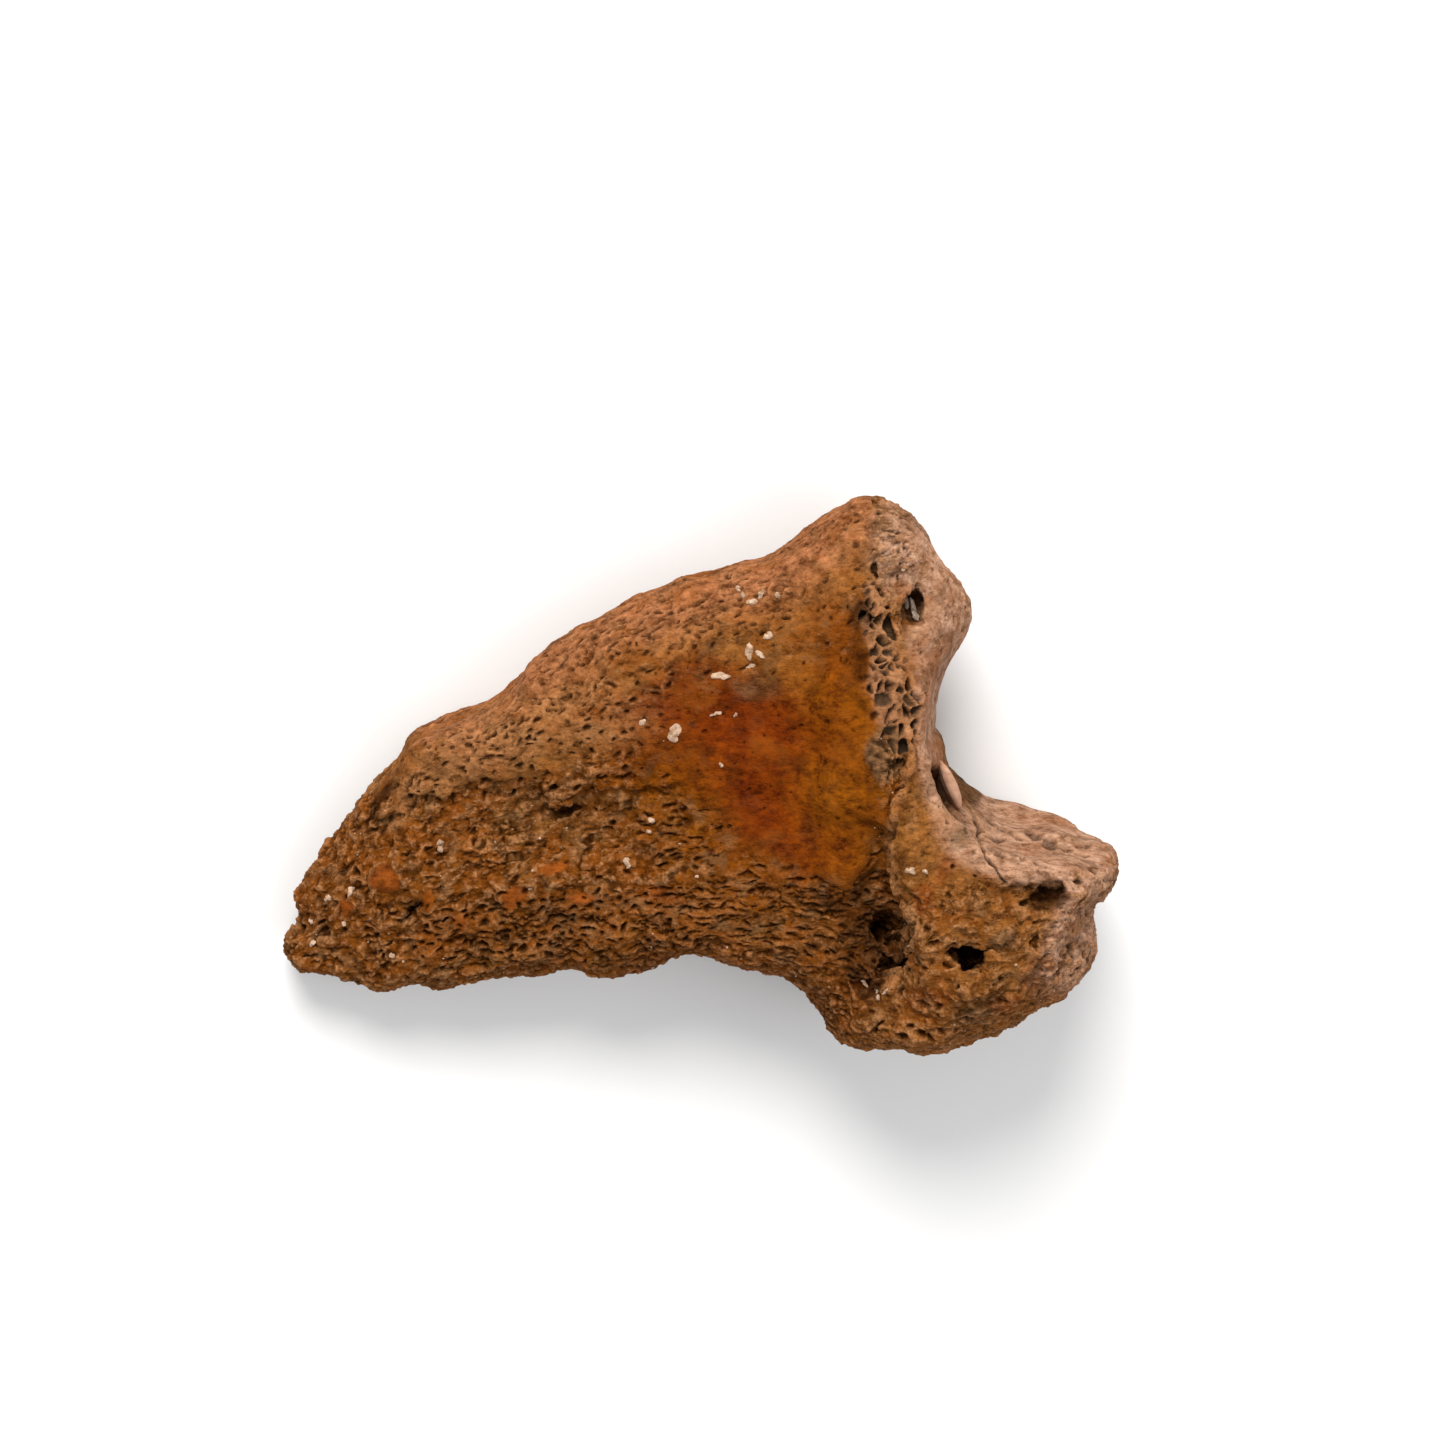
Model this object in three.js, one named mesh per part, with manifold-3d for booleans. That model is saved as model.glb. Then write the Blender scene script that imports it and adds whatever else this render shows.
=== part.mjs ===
// A cave bear's claw core, the end bone of a toe that carried the horny claw, lying on its side.
// It is one piece of fossil bone. A tall thin blade tapers to a worn tip. Behind the blade the base
// widens to the broken rim of the hood that gripped the horny sheath. The base rises to the extensor
// process, is hollowed behind by the joint with the next toe bone, and ends below in the lip of the
// joint and the flexor tubercle.
//
// Millimetres. The bone is drawn in its own frame: x runs from tip to joint, y from sole to back, and
// z across it, out of the side that will face up. It is then laid down: +Z is up, the tip points
// to -X, and z = 0 is the surface that it lies on.
import * as THREE from "three";
import { mergeVertices } from "three/addons/utils/BufferGeometryUtils.js";
import Module from "manifold-3d";

// ---- driving dimensions -------------------------------------------------------------------------
const JOINT_CENTRE = [20.6, 3.0]; // axis of the joint with the next toe bone
const JOINT_REACH = 9.2; // how far the joint surface reaches from that axis
const JOINT_FADE = 1.25; // half the width over which it ends
const COTYLE_OFFSET = 4.0; // from the middle plane to the deepest line of each of two joint hollows
const COTYLE_DEPTH = 0.9;
const FILLET = 1.5; // where the base grows out of the blade
const BACK_GROOVE_DEPTH = 0.7; // groove along the back of the tip half of the blade
const BACK_GROOVE_WIDTH = 1.6;
const BLADE_ROUNDING = 0.92; // part of its half thickness over which the blade's edge is rounded
const LUMP_SIZE = 3.1; // spacing of the uneven swellings of the surface
const LUMP_HEIGHT = 0.22;
const LUMP_SECOND = { finer: 2.1, lower: 0.4 }; // smaller swellings on top of them

// How it lies: turned from the drawing about x, then about y, in degrees, on spots worn flat.
const REST_ROLL = -3.2;
const REST_PITCH = -8.7;
const SEAT_DEPTH = 0.25;

// How the surface is found.
const CELL = 1.08; // grid that samples the bone
const GRID_LOW = [-28, -19, -11];
const GRID_HIGH = [28, 20, 11];
const SETTLE_ROUNDS = 3; // how often the vertices are evened out along the surface
const NUDGE = 0.05; // step for the slope of the field
const SPOT_REACH = 2.4; // how far a thickness spot rules its neighbourhood
const SPOT_CORE = 0.15; // keeps a spot from ruling its own centre alone
const SHORTEST_EDGE = 0.02; // slivers left by the cuts are closed up to this size

// ---- outlines in the middle plane ---------------------------------------------------------------
// The blade: from the notch in its worn tip along the back, down inside the base, home by the sole.
const BLADE_OUTLINE = [
  [-25.2, -9.4], [-26.0, -8.0], [-25.0, -6.4], [-22.6, -3.3], [-20.4, -0.1], [-18.0, 2.5],
  [-15.5, 3.8], [-12.3, 5.4], [-10.0, 7.8], [-6.5, 10.2], [-2.5, 12.0], [1.4, 13.4],
  [4.8, 14.4], [7.8, 16.4], [10.1, 17.5], [12.6, 14.0], [14.0, 4.0], [14.2, -8.0],
  [12.6, -15.6], [10.2, -17.0], [8.0, -15.3], [5.8, -12.9], [2.2, -11.8], [-1.3, -11.4],
  [-3.6, -12.1], [-5.8, -12.7], [-8.4, -12.2], [-11.6, -12.6], [-14.6, -13.2], [-17.2, -13.5],
  [-17.9, -12.8], [-19.0, -13.3], [-20.6, -13.6], [-22.9, -12.5], [-25.2, -12.3], [-26.5, -11.1],
];
// The base: extensor process, joint, lip, flexor tubercle, and back up along the broken rim.
const BASE_OUTLINE = [
  [10.2, 17.6], [11.8, 17.5], [13.3, 16.4], [14.6, 14.7], [15.8, 12.7], [16.8, 11.4],
  [17.2, 10.3], [16.7, 8.7], [15.5, 6.6], [14.9, 4.4], [14.8, 2.6], [15.4, 0.3],
  [16.7, -1.4], [18.4, -2.7], [20.8, -3.4], [23.2, -3.6], [25.0, -4.3], [26.2, -5.4],
  [25.9, -6.7], [24.4, -7.8], [24.5, -9.6], [24.3, -11.6], [23.3, -13.2], [21.6, -14.4],
  [19.8, -15.3], [17.4, -16.5], [14.6, -17.5], [11.8, -17.4], [9.5, -16.6], [9.2, -14.6],
  [11.6, -13.0], [12.9, -11.0], [12.7, -8.0], [12.0, -4.6], [11.4, -1.4], [10.7, 2.2],
  [10.4, 5.6], [10.4, 9.0], [10.6, 13.0],
];

// ---- thickness ----------------------------------------------------------------------------------
// Spots of the drawing: [x, y, half the thickness there, how far the nearest edge is rounded over in
// the drawing, and across it]. On the blade the last comes from BLADE_ROUNDING.
const BLADE_SPOTS = [
  [-25.0, -8.9, 1.4, 1.4], [-23.7, -6.6, 2.0, 1.4], [-23.2, -11.0, 2.0, 1.6], [-20.6, -1.5, 2.8, 1.4],
  [-20.6, -6.6, 3.1, 1.8], [-20.6, -11.7, 2.5, 1.8], [-16.2, 2.6, 3.6, 1.4], [-16.2, -2.0, 3.4, 1.8],
  [-16.2, -7.0, 3.6, 2.2], [-16.2, -12.0, 3.0, 2.2], [-11.6, 4.0, 4.3, 1.8], [-10.0, 0.0, 3.8, 2.6],
  [-10.0, -6.0, 4.1, 2.6], [-10.0, -11.0, 3.6, 2.6], [-8.8, 6.8, 3.8, 4.8], [-5.0, 4.2, 4.5, 4.8],
  [-3.7, 9.2, 4.0, 5.0], [-3.7, -1.5, 4.2, 3.0], [-3.7, -7.6, 4.5, 3.0], [-3.7, -10.6, 4.2, 3.0],
  [2.5, 11.0, 4.4, 5.2], [2.5, 5.0, 4.7, 4.6], [2.5, -1.5, 4.8, 3.6], [2.5, -7.6, 5.0, 3.4],
  [2.5, -10.6, 4.8, 3.4], [6.2, 13.4, 4.4, 5.0], [6.2, 8.0, 5.2, 4.6], [6.2, 2.3, 5.4, 3.6],
  [6.2, -3.4, 5.5, 3.6], [6.2, -10.0, 5.2, 3.8], [8.8, 15.6, 4.2, 4.4], [9.0, 11.2, 5.8, 4.0],
  [9.2, 6.1, 6.8, 3.6], [9.2, 1.0, 7.2, 3.6], [9.4, -3.6, 6.9, 3.6], [9.8, -8.4, 5.7, 3.6],
  [9.6, -12.6, 5.4, 4.0], [12.0, 14.0, 4.4, 4.0], [13.0, 6.0, 6.4, 3.0], [13.0, -2.0, 7.0, 3.0],
  [13.0, -10.0, 6.4, 3.6],
];
const BASE_SPOTS = [
  [11.2, 16.8, 2.9, 2.4, 2.7], [11.6, 14.0, 4.2, 2.6, 3.8], [11.0, 11.2, 5.6, 2.2, 3.6],
  [10.8, 6.6, 7.2, 1.4, 1.6], [11.2, 1.8, 8.2, 1.2, 1.4], [12.2, -3.6, 8.9, 1.0, 1.2],
  [12.9, -7.8, 9.3, 0.9, 1.4], [12.9, -11.4, 8.6, 2.2, 4.0], [12.0, -14.6, 6.6, 4.0, 6.2],
  [10.0, -15.8, 5.2, 4.0, 5.0], [14.6, 13.0, 3.4, 2.4, 3.2], [16.6, 10.4, 2.6, 1.8, 2.4],
  [14.6, 8.6, 4.9, 1.4, 3.0], [14.4, 5.0, 6.4, 1.2, 1.6], [14.2, 1.4, 7.6, 1.1, 1.3],
  [16.6, -2.8, 8.3, 1.1, 1.3], [19.0, -4.6, 8.5, 1.1, 1.5], [22.4, -5.0, 8.0, 1.2, 2.4],
  [25.2, -5.6, 6.2, 1.6, 5.2], [16.4, -8.4, 9.0, 3.0, 3.0], [16.4, -11.6, 8.8, 4.0, 5.0],
  [20.6, -9.4, 8.3, 3.0, 4.4], [23.6, -10.4, 6.8, 3.2, 6.2], [16.4, -15.0, 7.2, 4.6, 6.6],
  [20.8, -13.2, 7.2, 4.0, 6.6],
];

// ---- relief -------------------------------------------------------------------------------------
// Smooth hollows: centre and semi-axes. A z below 0 is on the side that the bone lies on.
const HOLLOWS = [
  { at: [10.8, -8.9, 8.6], size: [2.3, 4.2, 3.6] }, // recess under the broken rim
  { at: [10.7, -9.2, -8.6], size: [2.1, 3.8, 3.1] }, // its twin
  { at: [12.0, 10.6, 6.7], size: [1.1, 3.4, 1.6] }, // trough of the broken rim, above
  { at: [12.5, 4.4, 8.5], size: [1.3, 4.4, 1.7] }, // and below
  { at: [12.2, 5.6, -8.4], size: [1.1, 5.2, 1.6] }, // the other rim's trough
  { at: [20.8, -6.0, 9.2], size: [3.0, 0.9, 1.9] }, // groove under the lip
  { at: [20.4, -6.2, -9.0], size: [3.2, 0.9, 1.8] },
  { at: [-9.2, -2.2, 6.3], size: [6.4, 3.2, 2.9] }, // where the skin of the blade has flaked away
  { at: [-10.5, -1.4, -6.2], size: [6.0, 3.8, 2.7] },
];
const HOLLOW_BLEND = 0.8;

// Openings of blood vessels and larger gaps: place in the drawing, side, and semi-axes of the ball
// that cuts it.
const PITS = [
  { at: [16.5, -9.6], side: 1, size: [1.3, 0.95, 3.2] }, // vessel above the flexor tubercle
  { at: [16.2, -9.9], side: -1, size: [1.1, 0.9, 3.0] },
  { at: [11.3, -8.6], side: 1, size: [0.7, 0.9, 2.0] }, // vessels under the rim
  { at: [12.4, -10.4], side: 1, size: [0.55, 0.8, 1.8] },
  { at: [21.5, -5.4], side: 1, size: [1.3, 0.5, 1.2] }, // gap under the lip
  { at: [13.2, 11.8], side: 1, size: [0.65, 0.7, 1.2] },
  { at: [15.7, 0.6], side: 1, size: [0.45, 1.4, 1.0] }, // slit where a flake lifts off the joint
  { at: [-18.2, -8.2], side: 1, size: [0.7, 0.5, 0.7] }, // in the worn blade
  { at: [13.4, 7.6], side: -1, size: [0.6, 0.8, 1.0] },
];
const PIT_SIDES = 10;

// The spongy bone laid open along the broken rim: cells scattered along a line of the drawing.
const RIM_LINE = [[11.8, 13.2], [11.9, 9.0], [12.3, 5.0], [12.5, 1.4], [12.9, -2.4]];
const RIM_CELLS = 18;
const RIM_CELL_RADIUS = 0.4;
const RIM_CELL_SPREAD = 0.3; // how much the radius varies, as a part of it
const RIM_CELL_STRETCH = 1.6; // depth over radius
const RIM_CELL_SIDES = 7;
const RIM_SCATTER = [0.8, 0.35];

// ---- small mathematics --------------------------------------------------------------------------
const { clamp, degToRad, lerp, smoothstep } = THREE.MathUtils;

// Union of two fields with a fillet of about k, and a field with a tool taken out of it.
function fuse(a, b, k) {
  const overlap = Math.max(k - Math.abs(a - b), 0) / k;
  return Math.min(a, b) - (overlap * overlap * k) / 4;
}
const carve = (a, tool, k) => -fuse(-a, tool, k);

// Half thickness and the two roundings at a place in the drawing: the nearer a spot, the more it weighs.
function thickness(spots, x, y) {
  const sums = [0, 0, 0];
  let weights = 0;
  for (const [spotX, spotY, half, edge, deep = BLADE_ROUNDING * half] of spots) {
    const away = ((x - spotX) ** 2 + (y - spotY) ** 2) / SPOT_REACH ** 2;
    const weight = 1 / (SPOT_CORE + away * away);
    [half, edge, deep].forEach((value, i) => (sums[i] += weight * value));
    weights += weight;
  }
  return sums.map((sum) => sum / weights);
}

// A number from -1 to 1 for each point of a whole-number lattice, and smooth noise between them.
function hash(i, j, k) {
  let h = Math.imul(i, 374761393) ^ Math.imul(j, 668265263) ^ Math.imul(k, 1442695041);
  h = Math.imul(h ^ (h >>> 13), 1274126177);
  return ((h ^ (h >>> 16)) >>> 0) / 2 ** 31 - 1;
}

function noise(x, y, z) {
  const [i, j, k] = [x, y, z].map(Math.floor);
  const [u, v, w] = [x - i, y - j, z - k].map((t) => t * t * (3 - 2 * t));
  const row = (b, c) => lerp(hash(i, j + b, k + c), hash(i + 1, j + b, k + c), u);
  return lerp(lerp(row(0, 0), row(1, 0), v), lerp(row(0, 1), row(1, 1), v), w);
}

// Signed distance in the drawing to a closed smooth outline, negative inside.
function outlineDistance(points) {
  const knots = points.map(([x, y]) => new THREE.Vector3(x, y, 0));
  const ring = new THREE.CatmullRomCurve3(knots, true, "centripetal").getPoints(points.length * 4);
  return (x, y) => {
    let nearest = Infinity;
    let inside = false;
    for (let i = 1; i < ring.length; i++) {
      const [a, b] = [ring[i - 1], ring[i]];
      const [ex, ey, px, py] = [b.x - a.x, b.y - a.y, x - a.x, y - a.y];
      const t = clamp((px * ex + py * ey) / (ex * ex + ey * ey), 0, 1);
      nearest = Math.min(nearest, Math.hypot(px - t * ex, py - t * ey));
      if (a.y > y !== b.y > y && px < (ex * py) / ey) inside = !inside;
    }
    return inside ? -nearest : nearest;
  };
}

// A plate of the outline's shape, half thick each way, with its edge rounded over by edge in the
// drawing and by deep across it.
function plate(flat, z, [half, edge, deep]) {
  const a = (flat + edge) / edge;
  const b = (Math.abs(z) - half + deep) / deep;
  const rounded = Math.hypot(Math.max(a, 0), Math.max(b, 0)) + Math.min(Math.max(a, b), 0) - 1;
  return rounded * Math.min(edge, deep);
}

// ---- the bone as a field, negative inside -------------------------------------------------------
const bladeDistance = outlineDistance(BLADE_OUTLINE);
const baseDistance = outlineDistance(BASE_OUTLINE);

// What depends on the place in the drawing alone: the two forms, how far it lies on the joint surface,
// in the groove of the back, and in the worn tip half and sole.
function column(x, y) {
  const toJoint = Math.hypot(x - JOINT_CENTRE[0], y - JOINT_CENTRE[1]);
  return {
    blade: bladeDistance(x, y),
    bladeForm: thickness(BLADE_SPOTS, x, y),
    base: baseDistance(x, y),
    baseForm: thickness(BASE_SPOTS, x, y),
    atJoint: 1 - smoothstep(toJoint, JOINT_REACH - JOINT_FADE, JOINT_REACH + JOINT_FADE),
    atGroove: smoothstep(y, -2, 3) * (1 - smoothstep(x, -15, -9)),
    worn: 1 - smoothstep(x, -16, 4) * smoothstep(y, -12, -5),
  };
}

function lumps(x, y, z) {
  const [u, v, w] = [0.8 * x + 0.6 * y, 0.8 * y - 0.6 * x, z].map((length) => length / LUMP_SIZE);
  const { finer, lower } = LUMP_SECOND;
  return noise(u, v, w) + lower * noise(finer * u, finer * v, finer * w);
}

function bone(x, y, z, here) {
  const groove = BACK_GROOVE_DEPTH * here.atGroove * Math.exp(-((z / BACK_GROOVE_WIDTH) ** 2));
  const across = (Math.abs(z) - COTYLE_OFFSET) / COTYLE_OFFSET;
  const cotyle = COTYLE_DEPTH * here.atJoint * Math.max(0, 1 - across * across);
  const blade = plate(here.blade + groove, z, here.bladeForm);
  const base = plate(here.base + cotyle, z, here.baseForm);
  let field = fuse(blade, base, FILLET);
  for (const { at, size } of HOLLOWS) {
    const [dx, dy, dz] = [(x - at[0]) / size[0], (y - at[1]) / size[1], (z - at[2]) / size[2]];
    const reach = Math.hypot(dx, dy, dz);
    if (reach < 2) field = carve(field, (reach - 1) * Math.min(...size), HOLLOW_BLEND);
  }
  const uneven = (0.35 + here.worn) * (1 - 0.6 * here.atJoint);
  return field + LUMP_HEIGHT * uneven * lumps(x, y, z);
}

// ---- from the field to a surface ----------------------------------------------------------------
// Surface nets: a vertex in each grid cell that the surface crosses, and a four-cornered face round
// each grid edge that it crosses.
function surfaceNets() {
  const n = GRID_LOW.map((low, axis) => Math.ceil((GRID_HIGH[axis] - low) / CELL) + 1);
  const step = [n[1] * n[2], n[2], 1];
  const values = new Float32Array(n[0] * n[1] * n[2]);
  for (let i = 0; i < n[0]; i++)
    for (let j = 0; j < n[1]; j++) {
      const [x, y] = [GRID_LOW[0] + i * CELL, GRID_LOW[1] + j * CELL];
      const here = column(x, y);
      for (let k = 0; k < n[2]; k++)
        values[i * step[0] + j * step[1] + k] = bone(x, y, GRID_LOW[2] + k * CELL, here);
    }

  const eight = [...Array(8).keys()];
  const corners = eight.map((c) => [c & 1, (c >> 1) & 1, (c >> 2) & 1]);
  const offsets = corners.map((c) => c[0] * step[0] + c[1] * step[1] + c[2]);
  const edges = eight.flatMap((a) => [1, 2, 4].filter((bit) => !(a & bit)).map((bit) => [a, a | bit]));
  const vertexOf = new Map();
  const positions = [];
  for (let i = 0; i < n[0] - 1; i++)
    for (let j = 0; j < n[1] - 1; j++)
      for (let k = 0; k < n[2] - 1; k++) {
        const key = i * step[0] + j * step[1] + k;
        const sum = [0, 0, 0];
        let crossings = 0;
        for (const [a, b] of edges) {
          const [from, to] = [values[key + offsets[a]], values[key + offsets[b]]];
          if (from < 0 === to < 0) continue;
          const t = from / (from - to);
          for (let axis = 0; axis < 3; axis++)
            sum[axis] += lerp(corners[a][axis], corners[b][axis], t);
          crossings++;
        }
        if (!crossings) continue;
        vertexOf.set(key, positions.length / 3);
        const mean = [i, j, k].map((cell, axis) => cell + sum[axis] / crossings);
        positions.push(...mean.map((cells, axis) => GRID_LOW[axis] + CELL * cells));
      }

  const index = [];
  for (const key of vertexOf.keys())
    for (let axis = 0; axis < 3; axis++) {
      const inside = values[key] < 0;
      if (inside === values[key + step[axis]] < 0) continue;
      const [u, v] = [step[(axis + 1) % 3], step[(axis + 2) % 3]];
      const ring = [key, key - u, key - u - v, key - v].map((k) => vertexOf.get(k));
      const [a, b, c, d] = inside ? ring : ring.reverse();
      index.push(a, b, c, a, c, d);
    }
  const geometry = new THREE.BufferGeometry();
  geometry.setAttribute("position", new THREE.Float32BufferAttribute(positions, 3));
  return geometry.setIndex(index);
}

// Evens the vertices out: each moves towards the mean of its neighbours, and back onto the surface.
function settle(geometry) {
  const points = geometry.getAttribute("position");
  const index = geometry.index.array;
  const field = (p) => bone(p.x, p.y, p.z, column(p.x, p.y));
  const nudges = [0, 1, 2].map((axis) => new THREE.Vector3().setComponent(axis, NUDGE));
  const [here, old, slope] = [0, 1, 2].map(() => new THREE.Vector3());
  for (let round = 0; round < SETTLE_ROUNDS; round++) {
    const sums = Array.from({ length: points.count }, () => [0, 0, 0, 0]);
    for (let i = 0; i < index.length; i++) {
      const neighbour = index[i % 3 === 2 ? i - 2 : i + 1];
      const at = [points.getX(neighbour), points.getY(neighbour), points.getZ(neighbour), 1];
      at.forEach((value, k) => (sums[index[i]][k] += value));
    }
    for (let i = 0; i < points.count; i++) {
      const [x, y, z, count] = sums[i];
      here.set(x, y, z).divideScalar(count).lerp(old.fromBufferAttribute(points, i), 0.4);
      for (let newton = 0; newton < 2; newton++) {
        const value = field(here);
        slope.set(...nudges.map((nudge) => (field(here.clone().add(nudge)) - value) / NUDGE));
        here.addScaledVector(slope, -clamp(value / slope.lengthSq(), -CELL / 2, CELL / 2));
      }
      points.setXYZ(i, here.x, here.y, here.z);
    }
  }
  return geometry;
}

// ---- cutting ------------------------------------------------------------------------------------
const wasm = await Module();
wasm.setup();

function toSolid(geometry) {
  const merged = mergeVertices(geometry.clone().deleteAttribute("normal").deleteAttribute("uv"));
  const vertProperties = merged.getAttribute("position").array;
  const triVerts = new Uint32Array(merged.index.array);
  return new wasm.Manifold(new wasm.Mesh({ numProp: 3, vertProperties, triVerts }));
}

function toGeometry(solid) {
  const { vertProperties, triVerts } = solid.getMesh();
  const geometry = new THREE.BufferGeometry();
  geometry.setAttribute("position", new THREE.BufferAttribute(vertProperties, 3));
  return geometry.setIndex(new THREE.BufferAttribute(triVerts, 1));
}

// Height of the surface over a place in the drawing, on the side z > 0 (1) or z < 0 (-1).
function surfaceAt(x, y, side) {
  const here = column(x, y);
  let z = GRID_HIGH[2];
  while (z > 0 && bone(x, y, side * z, here) > 0) z -= NUDGE;
  return side * z;
}

function pitTool({ at: [x, y], side, size, sides = PIT_SIDES }) {
  const ball = new THREE.SphereGeometry(1, sides, Math.ceil(sides / 2)).rotateX(Math.PI / 2);
  return toSolid(ball.scale(...size).translate(x, y, surfaceAt(x, y, side)));
}

function rimCellTools() {
  const line = new THREE.CatmullRomCurve3(RIM_LINE.map(([x, y]) => new THREE.Vector3(x, y, 0)));
  return Array.from({ length: RIM_CELLS }, (_, i) => {
    const middle = line.getPoint((i + 0.5) / RIM_CELLS);
    const radius = RIM_CELL_RADIUS * (1 + RIM_CELL_SPREAD * hash(i, 3, 0));
    return pitTool({
      at: [middle.x + RIM_SCATTER[0] * hash(i, 1, 0), middle.y + RIM_SCATTER[1] * hash(i, 2, 0)],
      side: 1,
      size: [radius, radius, RIM_CELL_STRETCH * radius],
      sides: RIM_CELL_SIDES,
    });
  });
}

// ---- assembly -----------------------------------------------------------------------------------
let solid = toSolid(settle(surfaceNets()));
for (const tool of [...PITS.map(pitTool), ...rimCellTools()]) solid = solid.subtract(tool);

const laid = toGeometry(solid).rotateX(degToRad(REST_ROLL)).rotateY(degToRad(REST_PITCH));
laid.computeBoundingBox();
const { min, max } = laid.boundingBox;
laid.translate(-(min.x + max.x) / 2, -(min.y + max.y) / 2, -min.z - SEAT_DEPTH);
const ground = new THREE.BoxGeometry(200, 200, 20).translate(0, 0, -10);
const geometry = toGeometry(toSolid(laid).subtract(toSolid(ground)).simplify(SHORTEST_EDGE));
geometry.computeVertexNormals();

const fossilBone = new THREE.MeshStandardMaterial({ color: 0x9a5f36, roughness: 0.72, metalness: 0 });
const claw = new THREE.Mesh(geometry, fossilBone);
claw.name = "claw_core";

const part = new THREE.Group();
part.add(claw);
export default part;
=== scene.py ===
"""A fossil cave bear claw, lying on its side on a pale floor and seen from above.

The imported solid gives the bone's form. A fine skin is grown over it and worn: plates and fibres of old
bone, the openings of blood vessels, and the spongy cells of the broken rim.

Lengths in the bone's own drawing are in millimetres: x from tip to joint, y from sole to back, z out of
the side that faces up. Blender's are in metres.
"""
from math import cos, pi, radians, sin

import bmesh
import bpy
import numpy as np
from mathutils import Matrix, Vector


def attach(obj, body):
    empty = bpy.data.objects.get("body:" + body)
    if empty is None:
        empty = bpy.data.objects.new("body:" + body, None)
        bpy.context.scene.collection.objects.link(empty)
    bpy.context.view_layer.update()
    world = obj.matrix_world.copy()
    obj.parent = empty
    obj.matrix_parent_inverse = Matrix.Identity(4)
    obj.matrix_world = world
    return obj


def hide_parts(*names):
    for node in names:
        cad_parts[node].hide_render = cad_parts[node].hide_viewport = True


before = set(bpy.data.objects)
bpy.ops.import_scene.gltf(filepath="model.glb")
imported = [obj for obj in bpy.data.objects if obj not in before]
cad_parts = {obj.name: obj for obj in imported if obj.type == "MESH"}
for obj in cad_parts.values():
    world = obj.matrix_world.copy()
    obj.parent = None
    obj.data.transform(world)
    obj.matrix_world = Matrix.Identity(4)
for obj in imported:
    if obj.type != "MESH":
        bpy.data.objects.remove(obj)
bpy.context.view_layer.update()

MM = 0.001
rng = np.random.default_rng(1871)
scene = bpy.context.scene

# ---- the bone's drawing ----------------------------------
REST_ROLL = radians(-3.2)  # how the drawing is turned to lie: about x, then about y
REST_PITCH = radians(-8.7)
DRAWING_ORIGIN = np.array([0.012, -0.092, 6.396])  # where the drawing's origin lies, in mm
VIEW_TILT = radians(12)  # the camera's lean towards the back of the bone
TURN = np.array(Matrix.Rotation(REST_PITCH, 3, "Y") @ Matrix.Rotation(REST_ROLL, 3, "X"))


def to_drawing(metres):
    return (metres / MM - DRAWING_ORIGIN) @ TURN


def to_metres(drawn):
    return (drawn @ TURN.T + DRAWING_ORIGIN) * MM


# ---- small mathematics -----------------------------------
def ramp(value, low, high):
    """0 up to low, 1 from high on, and a smooth step between them."""
    t = np.clip((value - low) / (high - low), 0, 1)
    return t * t * (3 - 2 * t)


def lattice(i, j, k, seed):
    """A number from -1 to 1 for each point of a whole-number lattice."""
    h = (i * 374761393) ^ (j * 668265263) ^ (k * 1442695041) ^ (seed * 974634777)
    h = ((h ^ (h >> 13)) * 1274126177) & 0xFFFFFFFF
    return ((h ^ (h >> 16)) & 0xFFFF) / 32767.5 - 1


def noise(points, size, seed):
    """Smooth noise from -1 to 1 with swellings of that size."""
    p = points / size
    cell = np.floor(p).astype(np.int64)
    u = p - cell
    u = u * u * (3 - 2 * u)
    total = np.zeros(len(p))
    for corner in range(8):
        bits = np.array([corner & 1, corner >> 1 & 1, corner >> 2 & 1])
        weight = np.prod(np.where(bits, u, 1 - u), axis=1)
        total += weight * lattice(*(cell + bits).T, seed)
    return total


def wander(points, size, amount, seed):
    """The points, each pushed aside by smooth noise, so that an outline drawn through them is ragged."""
    return points + amount * np.stack([noise(points, size, seed + axis) for axis in range(3)], axis=1)


def from_place(points, x, y, degrees):
    """How far the points lie from a place of the drawing, along a direction and across it."""
    dx, dy = points[:, 0] - x, points[:, 1] - y
    a = radians(degrees)
    return dx * cos(a) + dy * sin(a), dy * cos(a) - dx * sin(a)


def spot(points, x, y, half_long, half_wide, degrees):
    """1 at a place in the drawing, fading to 0 round an ellipse of those half lengths."""
    along, across = from_place(points, x, y, degrees)
    return np.exp(-(((along / half_long) ** 2 + (across / half_wide) ** 2) ** 1.5))


def spots(points, ellipses):
    """Several spots as one, each (x, y, half length, half width, degrees, strength)."""
    return sum(strength * spot(points, *ellipse) for *ellipse, strength in ellipses)


def beside(points, line):
    """For each point, how far it lies to the right of a line and what part of the line it has passed."""
    line = np.array(line, float)
    steps = np.diff(line, axis=0)
    lengths = np.linalg.norm(steps, axis=1)
    passed = np.concatenate([[0], np.cumsum(lengths)]) / lengths.sum()
    nearest = np.full(len(points), np.inf)
    side, part = np.zeros(len(points)), np.zeros(len(points))
    for i, (start, step, length) in enumerate(zip(line, steps, lengths)):
        offset = points[:, :2] - start
        t = np.clip(offset @ step / length**2, 0, 1)
        distance = np.linalg.norm(offset - t[:, None] * step, axis=1)
        closer = distance < nearest
        right = np.sign(offset[:, 0] * step[1] - offset[:, 1] * step[0])
        nearest = np.where(closer, distance, nearest)
        side = np.where(closer, right * distance, side)
        part = np.where(closer, passed[i] + t * length / lengths.sum(), part)
    return side, part


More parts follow.
